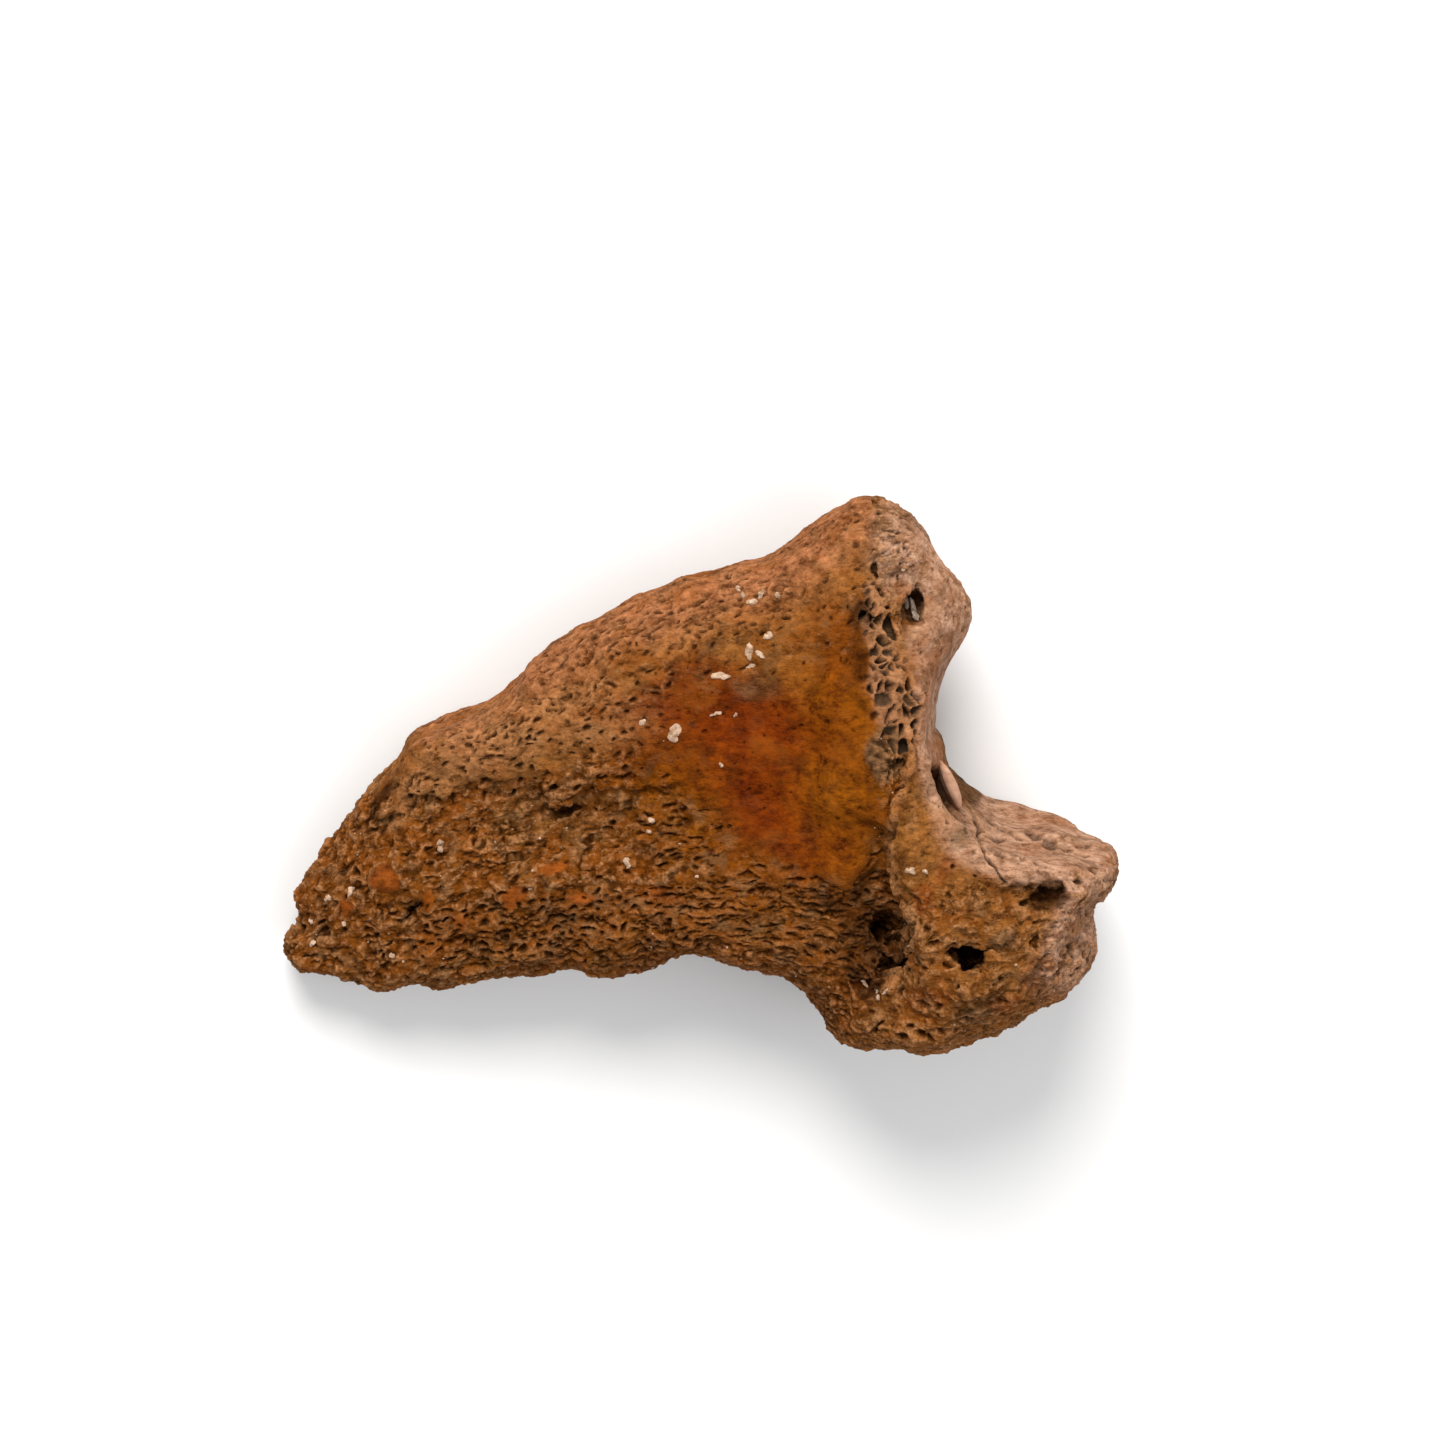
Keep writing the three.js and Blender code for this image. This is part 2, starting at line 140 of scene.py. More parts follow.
# ---- skins -----------------------------------------------
# Rounds of averaging, which spread a value over about 0.3, 0.4 and 0.7 mm of the finished skin.
NARROW_BLUR, SOFT_BLUR, WIDE_BLUR = 30, 60, 200


def add_object(name, data):
    """Puts an object of that data in the scene."""
    thing = bpy.data.objects.new(name, data)
    scene.collection.objects.link(thing)
    return thing


def made_mesh(thing):
    """An object's mesh as its modifiers leave it."""
    finished = thing.evaluated_get(bpy.context.evaluated_depsgraph_get())
    return bpy.data.meshes.new_from_object(finished)


def read(items, name, width=3):
    """One of the mesh's own lists as an array, with a row for each item."""
    values = np.empty(len(items) * width)
    items.foreach_get(name, values)
    return values.reshape(-1, width)


class Skin:
    """A closed mesh over the bone, in the drawing's millimetres."""

    def __init__(self, mesh):
        self.mesh = mesh
        self.edges = read(mesh.edges, "vertices", 2).astype(int)
        self.refresh()
        self.degree = np.bincount(self.edges.ravel(), minlength=len(self.points))

    def refresh(self):
        self.points = read(self.mesh.vertices, "co")
        self.normals = read(self.mesh.vertices, "normal")

    def place(self, points):
        self.mesh.vertices.foreach_set("co", points.ravel())
        self.mesh.update()
        self.refresh()

    def blurred(self, values, rounds):
        """The values averaged with their neighbours', that many times over."""
        a, b = self.edges.T
        for _ in range(rounds):
            sums = np.bincount(a, values[b], len(values)) + np.bincount(b, values[a], len(values))
            values = 0.5 * values + 0.5 * sums / self.degree
        return values


def remeshed(mesh, voxel, smoothing, *first):
    """A mesh made even, with that width, after its first modifiers, (kind, settings) each."""
    carrier = add_object("carrier", mesh)
    voxels = ("REMESH", {"mode": "VOXEL", "voxel_size": voxel})
    even = ("SMOOTH", {"iterations": smoothing})
    for kind, settings in (*first, voxels, even):
        modifier = carrier.modifiers.new(kind, kind)
        for name, value in settings.items():
            setattr(modifier, name, value)
    result = made_mesh(carrier)
    bpy.data.objects.remove(carrier)
    return Skin(result)


class Places:
    """Finds the points within a reach of a place."""

    def __init__(self, points, reach):
        self.reach = reach
        self.low = points.min(axis=0) - 2 * reach
        cells = np.floor((points - self.low) / reach).astype(int)
        self.size = cells.max(axis=0) + 3
        codes = self.code(cells.T)
        self.order = np.argsort(codes, kind="stable")
        self.starts = np.searchsorted(codes[self.order], np.arange(self.size.prod() + 1))

    def code(self, cells):
        return (cells[0] * self.size[1] + cells[1]) * self.size[2] + cells[2]

    def near(self, place):
        i, j, k = np.floor((place - self.low) / self.reach).astype(int)
        columns = [self.code((i + di, j + dj, k)) for di in (-1, 0, 1) for dj in (-1, 0, 1)]
        return np.concatenate([self.order[self.starts[c - 1] : self.starts[c + 2]] for c in columns])


# ---- forms of the bone as a whole ------------------------
FORM_VOXEL = 0.17  # mesh width while the forms are made, in mm
FORM_SMOOTHING = 10  # rounds of smoothing, which take away the solid's facets
JOINT_AXIS = (20.6, 3.0)  # the middle of the joint's curve
# The spongy strip of the broken rim, from the extensor process down.
RIM_LINE = [
    (10.8, 13), (10.8, 11.9), (11.1, 10.2), (11.6, 8.4), (12.1, 6.6), (12.4, 4.8), (12.6, 3.2),
]
# The lower edge of the smooth ridge, where the outer bone breaks off over the sunken side of the blade.
RIDGE_EDGE = [
    (-20.9, -4.4), (-20.4, -2.6), (-19.1, -1.5), (-18.5, -0.5), (-17, -0.3), (-15.8, -0.6),
    (-15, 0), (-13.5, 0.7), (-11.2, 0.5), (-10.3, -0.8), (-9, -1.7), (-8.1, -1.3),
    (-7.4, -0.3), (-5.6, 0.1), (-2.5, 0.3), (-0.5, 0.8),
]
# The free edge of the hood below the strip, which overhangs the recess.
HOOD_EDGE = [
    (12.9, 2.6), (12.7, 0.7), (12.3, -0.2), (12, -1.3), (11.7, -2.9), (12, -5.1), (12.8, -6.6),
    (13.4, -8.2), (12.9, -10.4), (11.6, -12.2),
]
# The lower edge of the paler back, and the crack that runs on from the foot of the slit.
BACK_LINE = [(-16, 3.6), (-11.2, 6.6), (-6.2, 9.6), (0, 12.4), (5, 14), (9.0, 16.6)]
CRACK = [(16.3, -0.6), (17.0, -1.8), (17.5, -2.9), (18.2, -4.0), (18.9, -4.9)]
# Each table of places says (x, y, half length, half width, degrees, depth or height or strength).
# The openings of blood vessels, on both sides of the bone.
VESSEL_OPENINGS = [
    (16.9, -9.9, 1, 0.85, -15, 2.4), (18.1, -9.4, 0.6, 0.32, 30, 0.7),  # over the tubercle
    (15.6, -9.4, 0.5, 0.4, 30, 1),
    (11.4, -9.1, 0.75, 0.35, -35, 1), (12.6, -10.5, 0.75, 0.3, 80, 1.2),  # in the recess
    (10.4, -12.6, 1.5, 0.7, -50, 0.5),
    (21.5, -6.05, 1.35, 0.62, 6, 0.8), (19.4, -5.4, 1.3, 0.35, 12, 0.35),  # under the lip
]
# Pits and scars, and then low swellings, that only the upper side has.
SCARS = [
    (-20.2, -1.5, 2.4, 0.5, 58, 0.5), (-18, -7.6, 0.65, 0.45, 20, 0.8),
    (-23.8, -9.7, 0.6, 0.32, 30, 0.5), (-19.5, -10.1, 0.34, 0.3, 0, 0.5),
    (-24.6, -11.2, 0.5, 0.3, 0, 0.4), (-23.5, -6.1, 0.8, 0.28, 50, 0.35),
    (-22.6, -3.9, 1, 0.25, 52, 0.3), (-8.2, -1.6, 1.1, 0.3, 12, 0.45),
    (-16.2, -8.4, 0.6, 0.3, 20, 0.4), (-14.2, -4.9, 0.9, 0.28, 25, 0.4),
    (-10.8, -4.2, 1.3, 0.25, 12, 0.35), (-6.1, -3.1, 1.4, 0.25, 8, 0.35),
    (-12.2, -9.6, 0.5, 0.35, 0, 0.45), (13.25, 11.45, 1.25, 0.75, 82, 1),
    (12.3, 13.3, 0.8, 0.6, 60, 0.3), (11.9, 15.4, 0.7, 0.4, 70, 0.3), (10.8, 13.9, 0.8, 0.26, 86, 0.7),
    (17.6, -12.6, 0.9, 0.5, -15, 0.4), (20.7, -10.9, 0.9, 0.4, 50, 0.35),
    (14, -13.6, 0.9, 0.4, -25, 0.35), (14.1, -7.2, 0.6, 0.35, -50, 0.3),
    (9.9, 11.2, 0.6, 0.9, 0, 0.25), (9.9, 8.6, 0.5, 1.1, 0, 0.25), (14.6, -4.4, 0.5, 1.3, 15, 0.2),
    (17.2, -6.6, 1.1, 0.5, 20, 0.25),
]
SWELLINGS = [
    (-23.6, -6.6, 2, 0.35, 46, 0.3), (-11.8, -2.9, 1, 0.5, 15, 0.2), (-5.2, -1.1, 1, 0.5, 5, 0.2),
    (14.3, -10.4, 1, 0.9, 0, 0.35), (18.8, -8, 1.3, 0.7, 20, 0.2),
    (16, -12, 1, 0.6, -10, 0.35), (19.4, -12.2, 1.1, 0.8, 20, 0.3),
    (13, -15, 1.6, 0.8, -15, 0.25), (21.9, -8.4, 1.2, 0.7, 30, 0.2),
    (13.3, -4.8, 0.6, 1.8, 10, 0.25), (20.4, -9.6, 1.3, 0.9, 10, 0.15),
    (10.75, 16, 2, 0.22, 89, 0.22),
]
# Smooth orange plates left standing in the broken side.
PLAQUES = [
    (-19.8, -5.9, 0.95, 1, 0, 0.28), (-17.1, -7.2, 0.45, 1, -10, 0.22),
    (-11.6, -6.8, 1.2, 0.9, 5, 0.2), (-9.3, -5, 1.1, 0.6, 5, 0.2), (-12, 0.2, 1.2, 0.5, 0, 0.1),
    (-7.4, -6.9, 1.3, 0.6, 8, 0.16), (-22.3, -8, 0.5, 0.6, 0, 0.18), (-15, -8.6, 0.6, 0.5, 0, 0.16),
]
# Where the worn bone's outline lies inside or outside the solid's.
OUTLINE = [
    (20.6, -1.8, 2.6, 1.6, -8, -0.35), (2.5, 13.7, 3.2, 1.5, 20, -0.28),
    (-5.9, 10.8, 2.2, 1.4, 30, -0.2), (-13.1, 5.6, 2.6, 1.4, 35, -0.28),
    (-22, 3, 2, 1.4, 45, -0.1), (24.8, -11.2, 3, 1.5, 80, 0.3),
    (-25.6, -10.8, 1.2, 1, 0, 0.2), (25.6, -4.8, 1.4, 1.2, 0, 0.25),
    (-23.8, -4, 3, 1, 60, 0.15), (15.3, 1.2, 2, 1, -60, 0.45),
]
# The even parts, which swell and sink less than the rest.
EVEN_PARTS = [(5.2, 3.2, 7.6, 8, 20, 1), (18, 4, 5, 9, 0, 1)]


def stamp(points, x, y, half_long, half_wide, degrees, amount):
    """A hollow or a swelling: full over the inner half of an ellipse and gone just outside it."""
    along, across = from_place(points, x, y, degrees)
    return amount * (1 - ramp(np.hypot(along / half_long, across / half_wide), 0.45, 1.2))


def ledge(points, line, drop, reach):
    """How far the bone drops on the right of a line, most at the line itself."""
    side, part = beside(points, line)
    ends = ramp(part, 0.0, 0.08) * (1 - ramp(part, 0.92, 1.0))
    return drop * ends * ramp(side, -0.08, 0.10) * (1 - ramp(side, 0.15 * reach, reach))


def upper_side(points):
    """1 on the side that faces up."""
    return ramp(points[:, 2], -0.5, 1.0)


def flanks(points):
    """1 on both sides, away from the middle plane."""
    return ramp(np.abs(points[:, 2]), 1.5, 3.0)


def plaque_height(points):
    ragged = wander(points, 0.7, 0.28, 45)
    return upper_side(points) * sum(stamp(ragged, *plaque) for plaque in PLAQUES)


def depth_of_openings(points):
    ragged = wander(points, 0.7, 0.28, 40)
    deep = flanks(points) * sum(stamp(ragged, *opening) for opening in VESSEL_OPENINGS)
    return deep + upper_side(points) * sum(stamp(ragged, *scar) for scar in SCARS)


def clear_of_floor(points):
    """0 where the bone rests, so that it keeps its worn spots."""
    return ramp(to_metres(points)[:, 2] / MM, 0.15, 1.3)


def form(skin):
    """Gives the bone its hollows, ledges and swellings."""
    points, normals = skin.points, skin.normals
    ragged = wander(points, 0.8, 0.3, 50)
    flank, upper = flanks(points), upper_side(points)
    height = 0.10 + 0.2 * noise(points, 2.8, 11) + 0.12 * noise(points, 1.3, 12)
    height *= 1 - 0.75 * ramp(spots(points, EVEN_PARTS), 0.3, 0.7)
    height += sum(stamp(points, *place) for place in OUTLINE)
    height -= depth_of_openings(points)
    height += upper * sum(stamp(ragged, *swelling) for swelling in SWELLINGS) + plaque_height(points)
    height -= upper * ledge(ragged, RIDGE_EDGE, drop=0.48, reach=4.5)
    height -= flank * ledge(ragged, HOOD_EDGE[:6], drop=0.35, reach=1.6)
    height -= flank * ledge(ragged, HOOD_EDGE[3:], drop=1.0, reach=3.2)
    skin.place(points + normals * (height * clear_of_floor(points))[:, None])


def soften_rim(skin):
    """Wears away the solid's round rim cells, which finer ones replace."""
    rim = 1 - ramp(np.abs(beside(skin.points, RIM_LINE + HOOD_EDGE[:4])[0]), 1.0, 2.2)
    rim *= ramp(np.abs(skin.points[:, 2]), 1.8, 3.0) * clear_of_floor(skin.points)
    blurred = np.stack([skin.blurred(skin.points[:, axis], SOFT_BLUR) for axis in range(3)], axis=1)
    skin.place(skin.points + rim[:, None] * (blurred - skin.points))


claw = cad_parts["claw_core"]
packed = claw.data.copy()
packed.vertices.foreach_set("co", to_drawing(read(packed.vertices, "co")).ravel())
rounding = ("WELD", {"merge_threshold": 0.001}), ("SUBSURF", {"levels": 2})
formed = remeshed(packed, FORM_VOXEL, FORM_SMOOTHING, *rounding)
soften_rim(formed)
form(formed)

# ---- zones: the parts of the bone ------------------------
SKIN_VOXEL = 0.1  # mesh width of the finished skin, in mm
SKIN_SMOOTHING = 2
RIM_TO_HOOD = 2.8  # the height in the drawing where the spongy strip ends and the hood's edge begins
AREAS = {
    "crust": [(11.5, 3, 1.5, 2, 0, 1.2)],
    "sunken": [(-9, -1.8, 9, 3.6, 6, 1)],
    "cortex": [
        (-13.5, 2.8, 7.5, 3.2, 26, 1), (-4.5, 7.5, 8, 4.5, 22, 1), (2, 11, 9, 4.5, 20, 1),
        (9, 14.5, 4.5, 5, 0, 1),
    ],
    "smooth skin": [
        (4, 3.4, 5.2, 4.6, 10, 1), (8.6, 3.5, 3, 8.5, 0, 0.9), (6, -2.2, 4.5, 2.6, -20, 0.8),
        (-1.8, 1.6, 3.8, 3.2, 10, 0.5),
    ],
    "calm": [(2.6, 1.2, 8.2, 6.6, -12, 1), (7, -3.6, 5, 4, -20, 0.8)],
    "fibrous": [
        (3, -7.6, 6, 2.6, -4, 1), (8.2, -8.6, 3.4, 3, -20, 1), (-1, -2.6, 3.6, 2.2, 6, 0.8),
    ],
    "sole": [(-6.5, -9.2, 9.5, 2.9, 4, 1), (-14, -10, 5, 2, 10, 0.7)],
    "recess": [(10.6, -9.4, 2.2, 3.8, -8, 1), (8.2, -6.8, 2.8, 1, -5, 0.7)],
    "furrows": [(7.4, -7, 3.6, 1.3, -5, 1), (10.5, -10.5, 1.6, 3, -10, 0.8)],
    "ridge": [
        (-13, 2.6, 6, 1.9, 25, 1), (-17.8, -0.6, 2.4, 1, 45, 0.8),
        (-5.5, 4.6, 3.5, 2.2, 15, 0.7),
    ],
    "back": [
        (-4.5, 9.3, 6.5, 1.8, 26, 1), (3.5, 11.6, 4, 1.6, 15, 0.8), (-1.5, 6.5, 4, 1.6, 20, 0.5),
    ],
}

skin = remeshed(formed.mesh, SKIN_VOXEL, SKIN_SMOOTHING)
points, normals = skin.points, skin.normals
x, y, z = points.T
patchy = noise(points, 2.2, 1) + 0.6 * noise(points, 0.9, 2) + 0.3 * noise(points, 0.45, 3)
ragged = wander(points, 1.0, 0.45, 60)
upper, flank = upper_side(points), flanks(points)


def area(ellipses, low, high, raggedness=0.15):
    """1 inside an area, with a ragged border."""
    return ramp(spots(points, ellipses) + raggedness * patchy, low, high)


def band(ellipses):
    """An area that fades smoothly, from 1 in its middle to 0."""
    return np.clip(spots(points, ellipses), 0, 1)


to_axis = np.hypot(x - JOINT_AXIS[0], y - JOINT_AXIS[1])
towards_axis = (JOINT_AXIS[0] - x) * normals[:, 0] + (JOINT_AXIS[1] - y) * normals[:, 1]
facing_axis = towards_axis / np.maximum(to_axis, 1e-6)
near_axis = 1 - ramp(to_axis, 8.6, 10.2)
joint = ramp(facing_axis, 0.45, 0.8) * near_axis * ramp(x, 12.5, 14)

rim_side, rim_part = beside(ragged, RIM_LINE)
hood_side, _ = beside(ragged, HOOD_EDGE)
edge_side = np.where(y > RIM_TO_HOOD, rim_side, hood_side)
behind_rim = ramp(-edge_side, -0.3, 0.3) * ramp(x, 9.5, 10.8)
strip_width = np.interp(rim_part, [0, 0.15, 0.5, 0.8, 1], [0.45, 0.8, 1.25, 1.1, 0.5])
outside_strip = ramp(np.abs(rim_side), 0.8 * strip_width, 1.1 * strip_width + 0.1)
sponge = flank * (1 - outside_strip) * (1 - joint)
crust = upper * area(AREAS["crust"], 0.4, 0.65, 0.3)
hood_rim = flank * (1 - ramp(np.abs(hood_side - 0.05), 0.15, 0.45)) * (1 - crust)

below_ridge, _ = beside(ragged, RIDGE_EDGE)
sunken = upper * ramp(below_ridge, 0, 0.15) * area(AREAS["sunken"], 0.2, 0.5, 0.1)
cortex = area(AREAS["cortex"], 0.25, 0.5) * (1 - sunken)
smooth_skin = area(AREAS["smooth skin"], 0.2, 0.8) * (1 - behind_rim)
smooth_skin = np.maximum(smooth_skin, 0.9 * joint)
base = behind_rim * (1 - joint)
tubercle = base * (1 - ramp(y + 0.4 * patchy, -6.0, -4.0))
side_face = base * (1 - tubercle)
fibrous = area(AREAS["fibrous"], 0.25, 0.6) * (1 - behind_rim) * (1 - smooth_skin)
sole = area(AREAS["sole"], 0.3, 0.6, 0.1) * (1 - fibrous)
recess = area(AREAS["recess"], 0.2, 0.9, 0.1) * (1 - base)
flaky = np.clip(1 - cortex - smooth_skin - fibrous - base - sponge - joint, 0, 1)
plaque = ramp(plaque_height(points), 0.08, 0.16)
calm = area(AREAS["calm"], 0.0, 1.0, 0.3) * (1 - behind_rim)  # where flaky skin gives way to smooth
scaly = np.clip(flaky + sunken, 0, 1) * (1 - 0.85 * plaque)
ridge_band, back_band = band(AREAS["ridge"]), band(AREAS["back"])

# ---- the grain -------------------------------------------
# Which way the fibres run: (x, y, degrees above the x axis), ruling by nearness.
GRAIN = [
    (-24, -9, 30), (-22, -4, 52), (-18, 1, 44), (-12, 4, 34), (-6, 8, 26), (0, 10, 22), (7, 14, 24),
    (-18, -10, 22), (-19, -6, 42), (-13, -3, 28), (-8, -2, 10), (-8, -10, 12), (-2, -4, 8), (-2, -10, 8),
    (4, -9, -4), (8, -11, -24), (4, 2, 4), (9, 4, 20), (14, -14, -20), (20, -11, 15), (14, 8, 85),
    (14, 0, 80), (20, -5, 0), (-13, -8, 20),
]
BLADE_SLANT = 20  # degrees above the x axis at which the blade runs
warped = wander(wander(wander(points, 1.0, 0.26, 66), 0.5, 0.13, 70), 0.24, 0.055, 80)
# Finders of neighbours for coarse, middling and fine plates, with their reach in mm.
wide, close, tiny = Places(points, 1.6), Places(points, 0.75), Places(points, 0.45)


def grain_at(sites, spread):
    """Unit vectors along the fibres at some of the points, each turned a little by chance."""
    sums = np.zeros((len(sites), 2))
    for gx, gy, degrees in GRAIN:
        weight = 1 / (0.5 + (x[sites] - gx) ** 2 + (y[sites] - gy) ** 2) ** 1.5
        sums += weight[:, None] * [cos(2 * radians(degrees)), sin(2 * radians(degrees))]
    angle = 0.5 * np.arctan2(sums[:, 1], sums[:, 0]) + rng.normal(0, spread, len(sites))
    flat = np.stack([np.cos(angle), np.sin(angle), np.zeros(len(sites))], axis=1)
    normal = normals[sites]
    along = flat - normal * (flat * normal).sum(axis=1)[:, None]
    return along / np.maximum(np.linalg.norm(along, axis=1), 1e-6)[:, None]


def scatter(spacing, chance):
    """One random point in each cube of that side, kept by its chance."""
    order = rng.permutation(len(points))
    cubes = np.floor((points[order] + 100) / spacing).astype(np.int64)
    _, first = np.unique((cubes[:, 0] * 4096 + cubes[:, 1]) * 4096 + cubes[:, 2], return_index=True)
    picked = order[first]
    return picked[rng.random(len(picked)) < chance[picked]]


def split(near, site, along):
    """How far the points near a site lie from it, along its fibres and across them (squared)."""
    offset = warped[near] - warped[site]
    forward = offset @ along
    return forward, np.maximum((offset**2).sum(axis=1) - forward**2, 0)


def tile(places, sites, half_long, half_wide, spread):
    """Tiles the skin with plates along the grain.

    For each point: its plate, how far towards the plate's front it lies (about -1 to 1), and its
    distance from the seam in mm.
    """
    along = grain_at(sites, spread)
    best, second = np.full(len(points), 9.0), np.full(len(points), 9.0)
    owner, front = np.zeros(len(points), int), np.zeros(len(points))
    for i, site in enumerate(sites):
        near = places.near(points[site])
        forward, sideways = split(near, site, along[i])
        distance = np.sqrt((forward / half_long) ** 2 + sideways / half_wide**2)
        first = distance < best[near]
        second[near] = np.where(first, best[near], np.minimum(second[near], distance))
        closer = near[first]
        best[closer], owner[closer], front[closer] = distance[first], i, forward[first] / half_long
    return owner, np.clip(front, -1.5, 1.5), (second - best) * half_wide / 2


def plates(places, spacing, half_long, half_wide, where, thickness, crevice, spread=0.25):
    """The relief of one layer of plates: stepped, tilted like shingles, with some open seams."""
    sites = scatter(spacing, np.where(where > 0.02, 1.0, 0.0))
    owner, front, seam = tile(places, sites, half_long, half_wide, spread)
    level = rng.uniform(-1, 1, len(sites))[owner]
    tilt = rng.uniform(-1, 1, len(sites))[owner]
    gaps = ramp(noise(points, 0.9, 90), -0.1, 0.6)
    open_seam = gaps * (1 - ramp(seam, 0.02, 0.045 + 0.09 * half_wide))
    return where * (thickness * (0.7 * level + 0.7 * tilt * front) - crevice * open_seam)


def terraces(size, steps, thickness, seed):
    """The relief of worn lamellae: the contour steps of smooth noise, drawn out along the blade."""
    along, across = from_place(warped, 0, 0, BLADE_SLANT)
    drawn_out = np.stack([0.5 * along, across, warped[:, 2]], axis=1)
    level = steps * (noise(drawn_out, size, seed) + 0.4 * noise(drawn_out, 0.4 * size, seed + 1))
    return thickness * (np.floor(level) + ramp(level - np.floor(level), 0.0, 0.3))


def pores(spacing, where, half_long, half_wide, depth, spread=0.15):
    """How deep each point lies in an opening of a small vessel. Sizes are (least, most)."""
    sites = scatter(spacing, where)
    along = grain_at(sites, spread)
    lengths, widths = rng.uniform(*half_long, len(sites)), rng.uniform(*half_wide, len(sites))
    depths = rng.uniform(*depth, len(sites))
    sunk = np.zeros(len(points))
    for i, site in enumerate(sites):
        near = close.near(points[site])
        forward, sideways = split(near, site, along[i])
        edge = np.sqrt((forward / lengths[i]) ** 2 + sideways / widths[i] ** 2)
        sunk[near] = np.maximum(sunk[near], depths[i] * (1 - ramp(edge, 0.5, 1.2)))
    return sunk


# ---- wear ------------------------------------------------
# The slit where the flake has lifted off the joint's margin, placed as the picture shows it.
SLIT = (15.2, -0.75, 1.65, 0.42, -66, 0.9)
LIP_DENTS = [(21.0, 0.8), (21.9, 1.5), (18.6, 2.6)]  # dents in the joint's lip, as (x, z)


def plate_relief():
    """Layers of plates from coarse to fine, then the fibres, then lamellae."""
    rough = scaly + 0.7 * tubercle
    wide_where = np.clip(scaly + 0.4 * tubercle, 0, 1) * (1 - 0.4 * sole)
    close_where = rough + 0.25 * cortex + 0.2 * ridge_band + 0.4 * fibrous + 0.6 * side_face
    close_where = np.clip(close_where, 0, 1)
    tiny_where = np.clip(rough + 0.4 * cortex + 0.3 * ridge_band + 0.6 * side_face, 0, 1)
    fibre_where = np.clip(fibrous + 0.35 * sunken, 0, 1)
    relief = plates(wide, 1.25, 1.5, 0.7, wide_where, thickness=0.10, crevice=0.15)
    relief += plates(close, 0.6, 0.75, 0.3, close_where, thickness=0.09, crevice=0.12)
    relief += plates(tiny, 0.32, 0.36, 0.16, tiny_where, thickness=0.065, crevice=0.07)
    relief += plates(close, 0.42, 1.0, 0.17, fibre_where, thickness=0.08, crevice=0.16, spread=0.12)
    layered = np.clip(rough + 0.3 * cortex + 0.25 * side_face, 0, 1)
    relief += layered * (terraces(1.7, 3.0, 0.085, 110) + terraces(0.7, 2.0, 0.055, 113))
    return relief * (1 - 0.6 * calm)


def noise_relief():
    """The unevenness of each part of the bone, of no particular pattern."""
    crumbly = np.clip(scaly + tubercle + 0.3 * fibrous + 0.2 * cortex + 0.5 * side_face, 0, 1)
    ripples = 0.045 * noise(warped * [0.8, 1.3, 1], 0.45, 108) + 0.04 * noise(warped, 0.9, 115)
    relief = crumbly * (0.05 * noise(warped, 0.5, 103) + 0.045 * noise(warped, 0.24, 104))
    relief += tubercle * (0.12 * noise(points, 0.95, 105) + 0.16 * noise(points, 2.1, 109))
    relief += (joint + 0.6 * base) * (0.05 * noise(points, 1.2, 111) + 0.03 * noise(warped, 0.5, 112))
    relief += side_face * 0.09 * noise(warped * [1.4, 0.7, 1], 1.0, 106)
    relief += 0.03 * noise(points, 0.35, 96) * (1 - 0.6 * smooth_skin) + 0.02 * noise(points, 0.8, 97)
    relief += (smooth_skin + cortex) * ripples
    relief += crust * (0.30 * noise(warped, 0.55, 100) + 0.18 * noise(warped, 0.25, 101))
    return relief + 0.22 * hood_rim * (1 + noise(points, 0.5, 102))


def squiggles(seed, size, width):
    """Winding lines, 1 along their middle."""
    return np.clip(1 - np.abs(noise(warped * [0.7, 1.2, 1], size, seed)) / width, 0, 1)


def pore_depth():
    """All the openings of small vessels, with the part of the bone that each kind is in."""
    layers = [
        pores(0.6, ridge_band * 0.65 * (1 - sunken), (0.12, 0.38), (0.085, 0.15), (0.16, 0.36), 0.35),
        pores(0.62, back_band * 0.6, (0.22, 0.6), (0.09, 0.16), (0.12, 0.28), 0.3),
        pores(0.58, sole * 0.8, (0.16, 0.36), (0.11, 0.17), (0.22, 0.42)),
        pores(0.6, fibrous * 0.7, (0.3, 0.8), (0.07, 0.13), (0.2, 0.4)),
        pores(0.9, scaly * 0.3 * (1 - sole), (0.2, 0.6), (0.09, 0.18), (0.15, 0.4), 0.4),
        pores(1.2, tubercle * 0.5, (0.14, 0.6), (0.1, 0.3), (0.15, 0.5), 0.6),
        pores(0.95, side_face * 0.2 + cortex * 0.3, (0.1, 0.3), (0.09, 0.14), (0.1, 0.25), 0.4),
        pores(1.25, smooth_skin * 0.4, (0.09, 0.14), (0.08, 0.12), (0.14, 0.25)),
    ]
    return np.max(layers, axis=0)


def cell_depth():
    """The spongy cells laid open along the broken rim, between rounded walls."""
    sites = scatter(0.74, (sponge > 0.02) * rng.choice([0.45, 1.0], len(points)))
    owner, _, seam = tile(close, sites, 0.56, 0.42, 0.6)
    seam = seam + 0.06 * noise(warped, 0.3, 121)
    some = ramp(noise(points, 0.8, 98), -0.45, -0.1)
    return some * sponge * ramp(seam, 0.05, 0.15) * rng.uniform(0.35, 1.3, len(sites))[owner]


def dent_depth():
    """Pores and dents in the joint's lip."""
    lip = ramp(facing_axis, 0.3, 0.6) * near_axis * ramp(x, 17.5, 18.5)
    where = 0.45 * lip * ramp(z, -4.5, -1.5)
    dents = pores(1.1, where, (0.15, 0.5), (0.15, 0.4), (0.1, 0.28), 0.8)
    for dent_x, dent_z in LIP_DENTS:
        from_middle = np.hypot((warped[:, 0] - dent_x) / 0.6, (warped[:, 2] - dent_z) / 0.9)
        dents = np.maximum(dents, 0.35 * (1 - ramp(from_middle, 0.3, 1.2)))
    return dents * lip


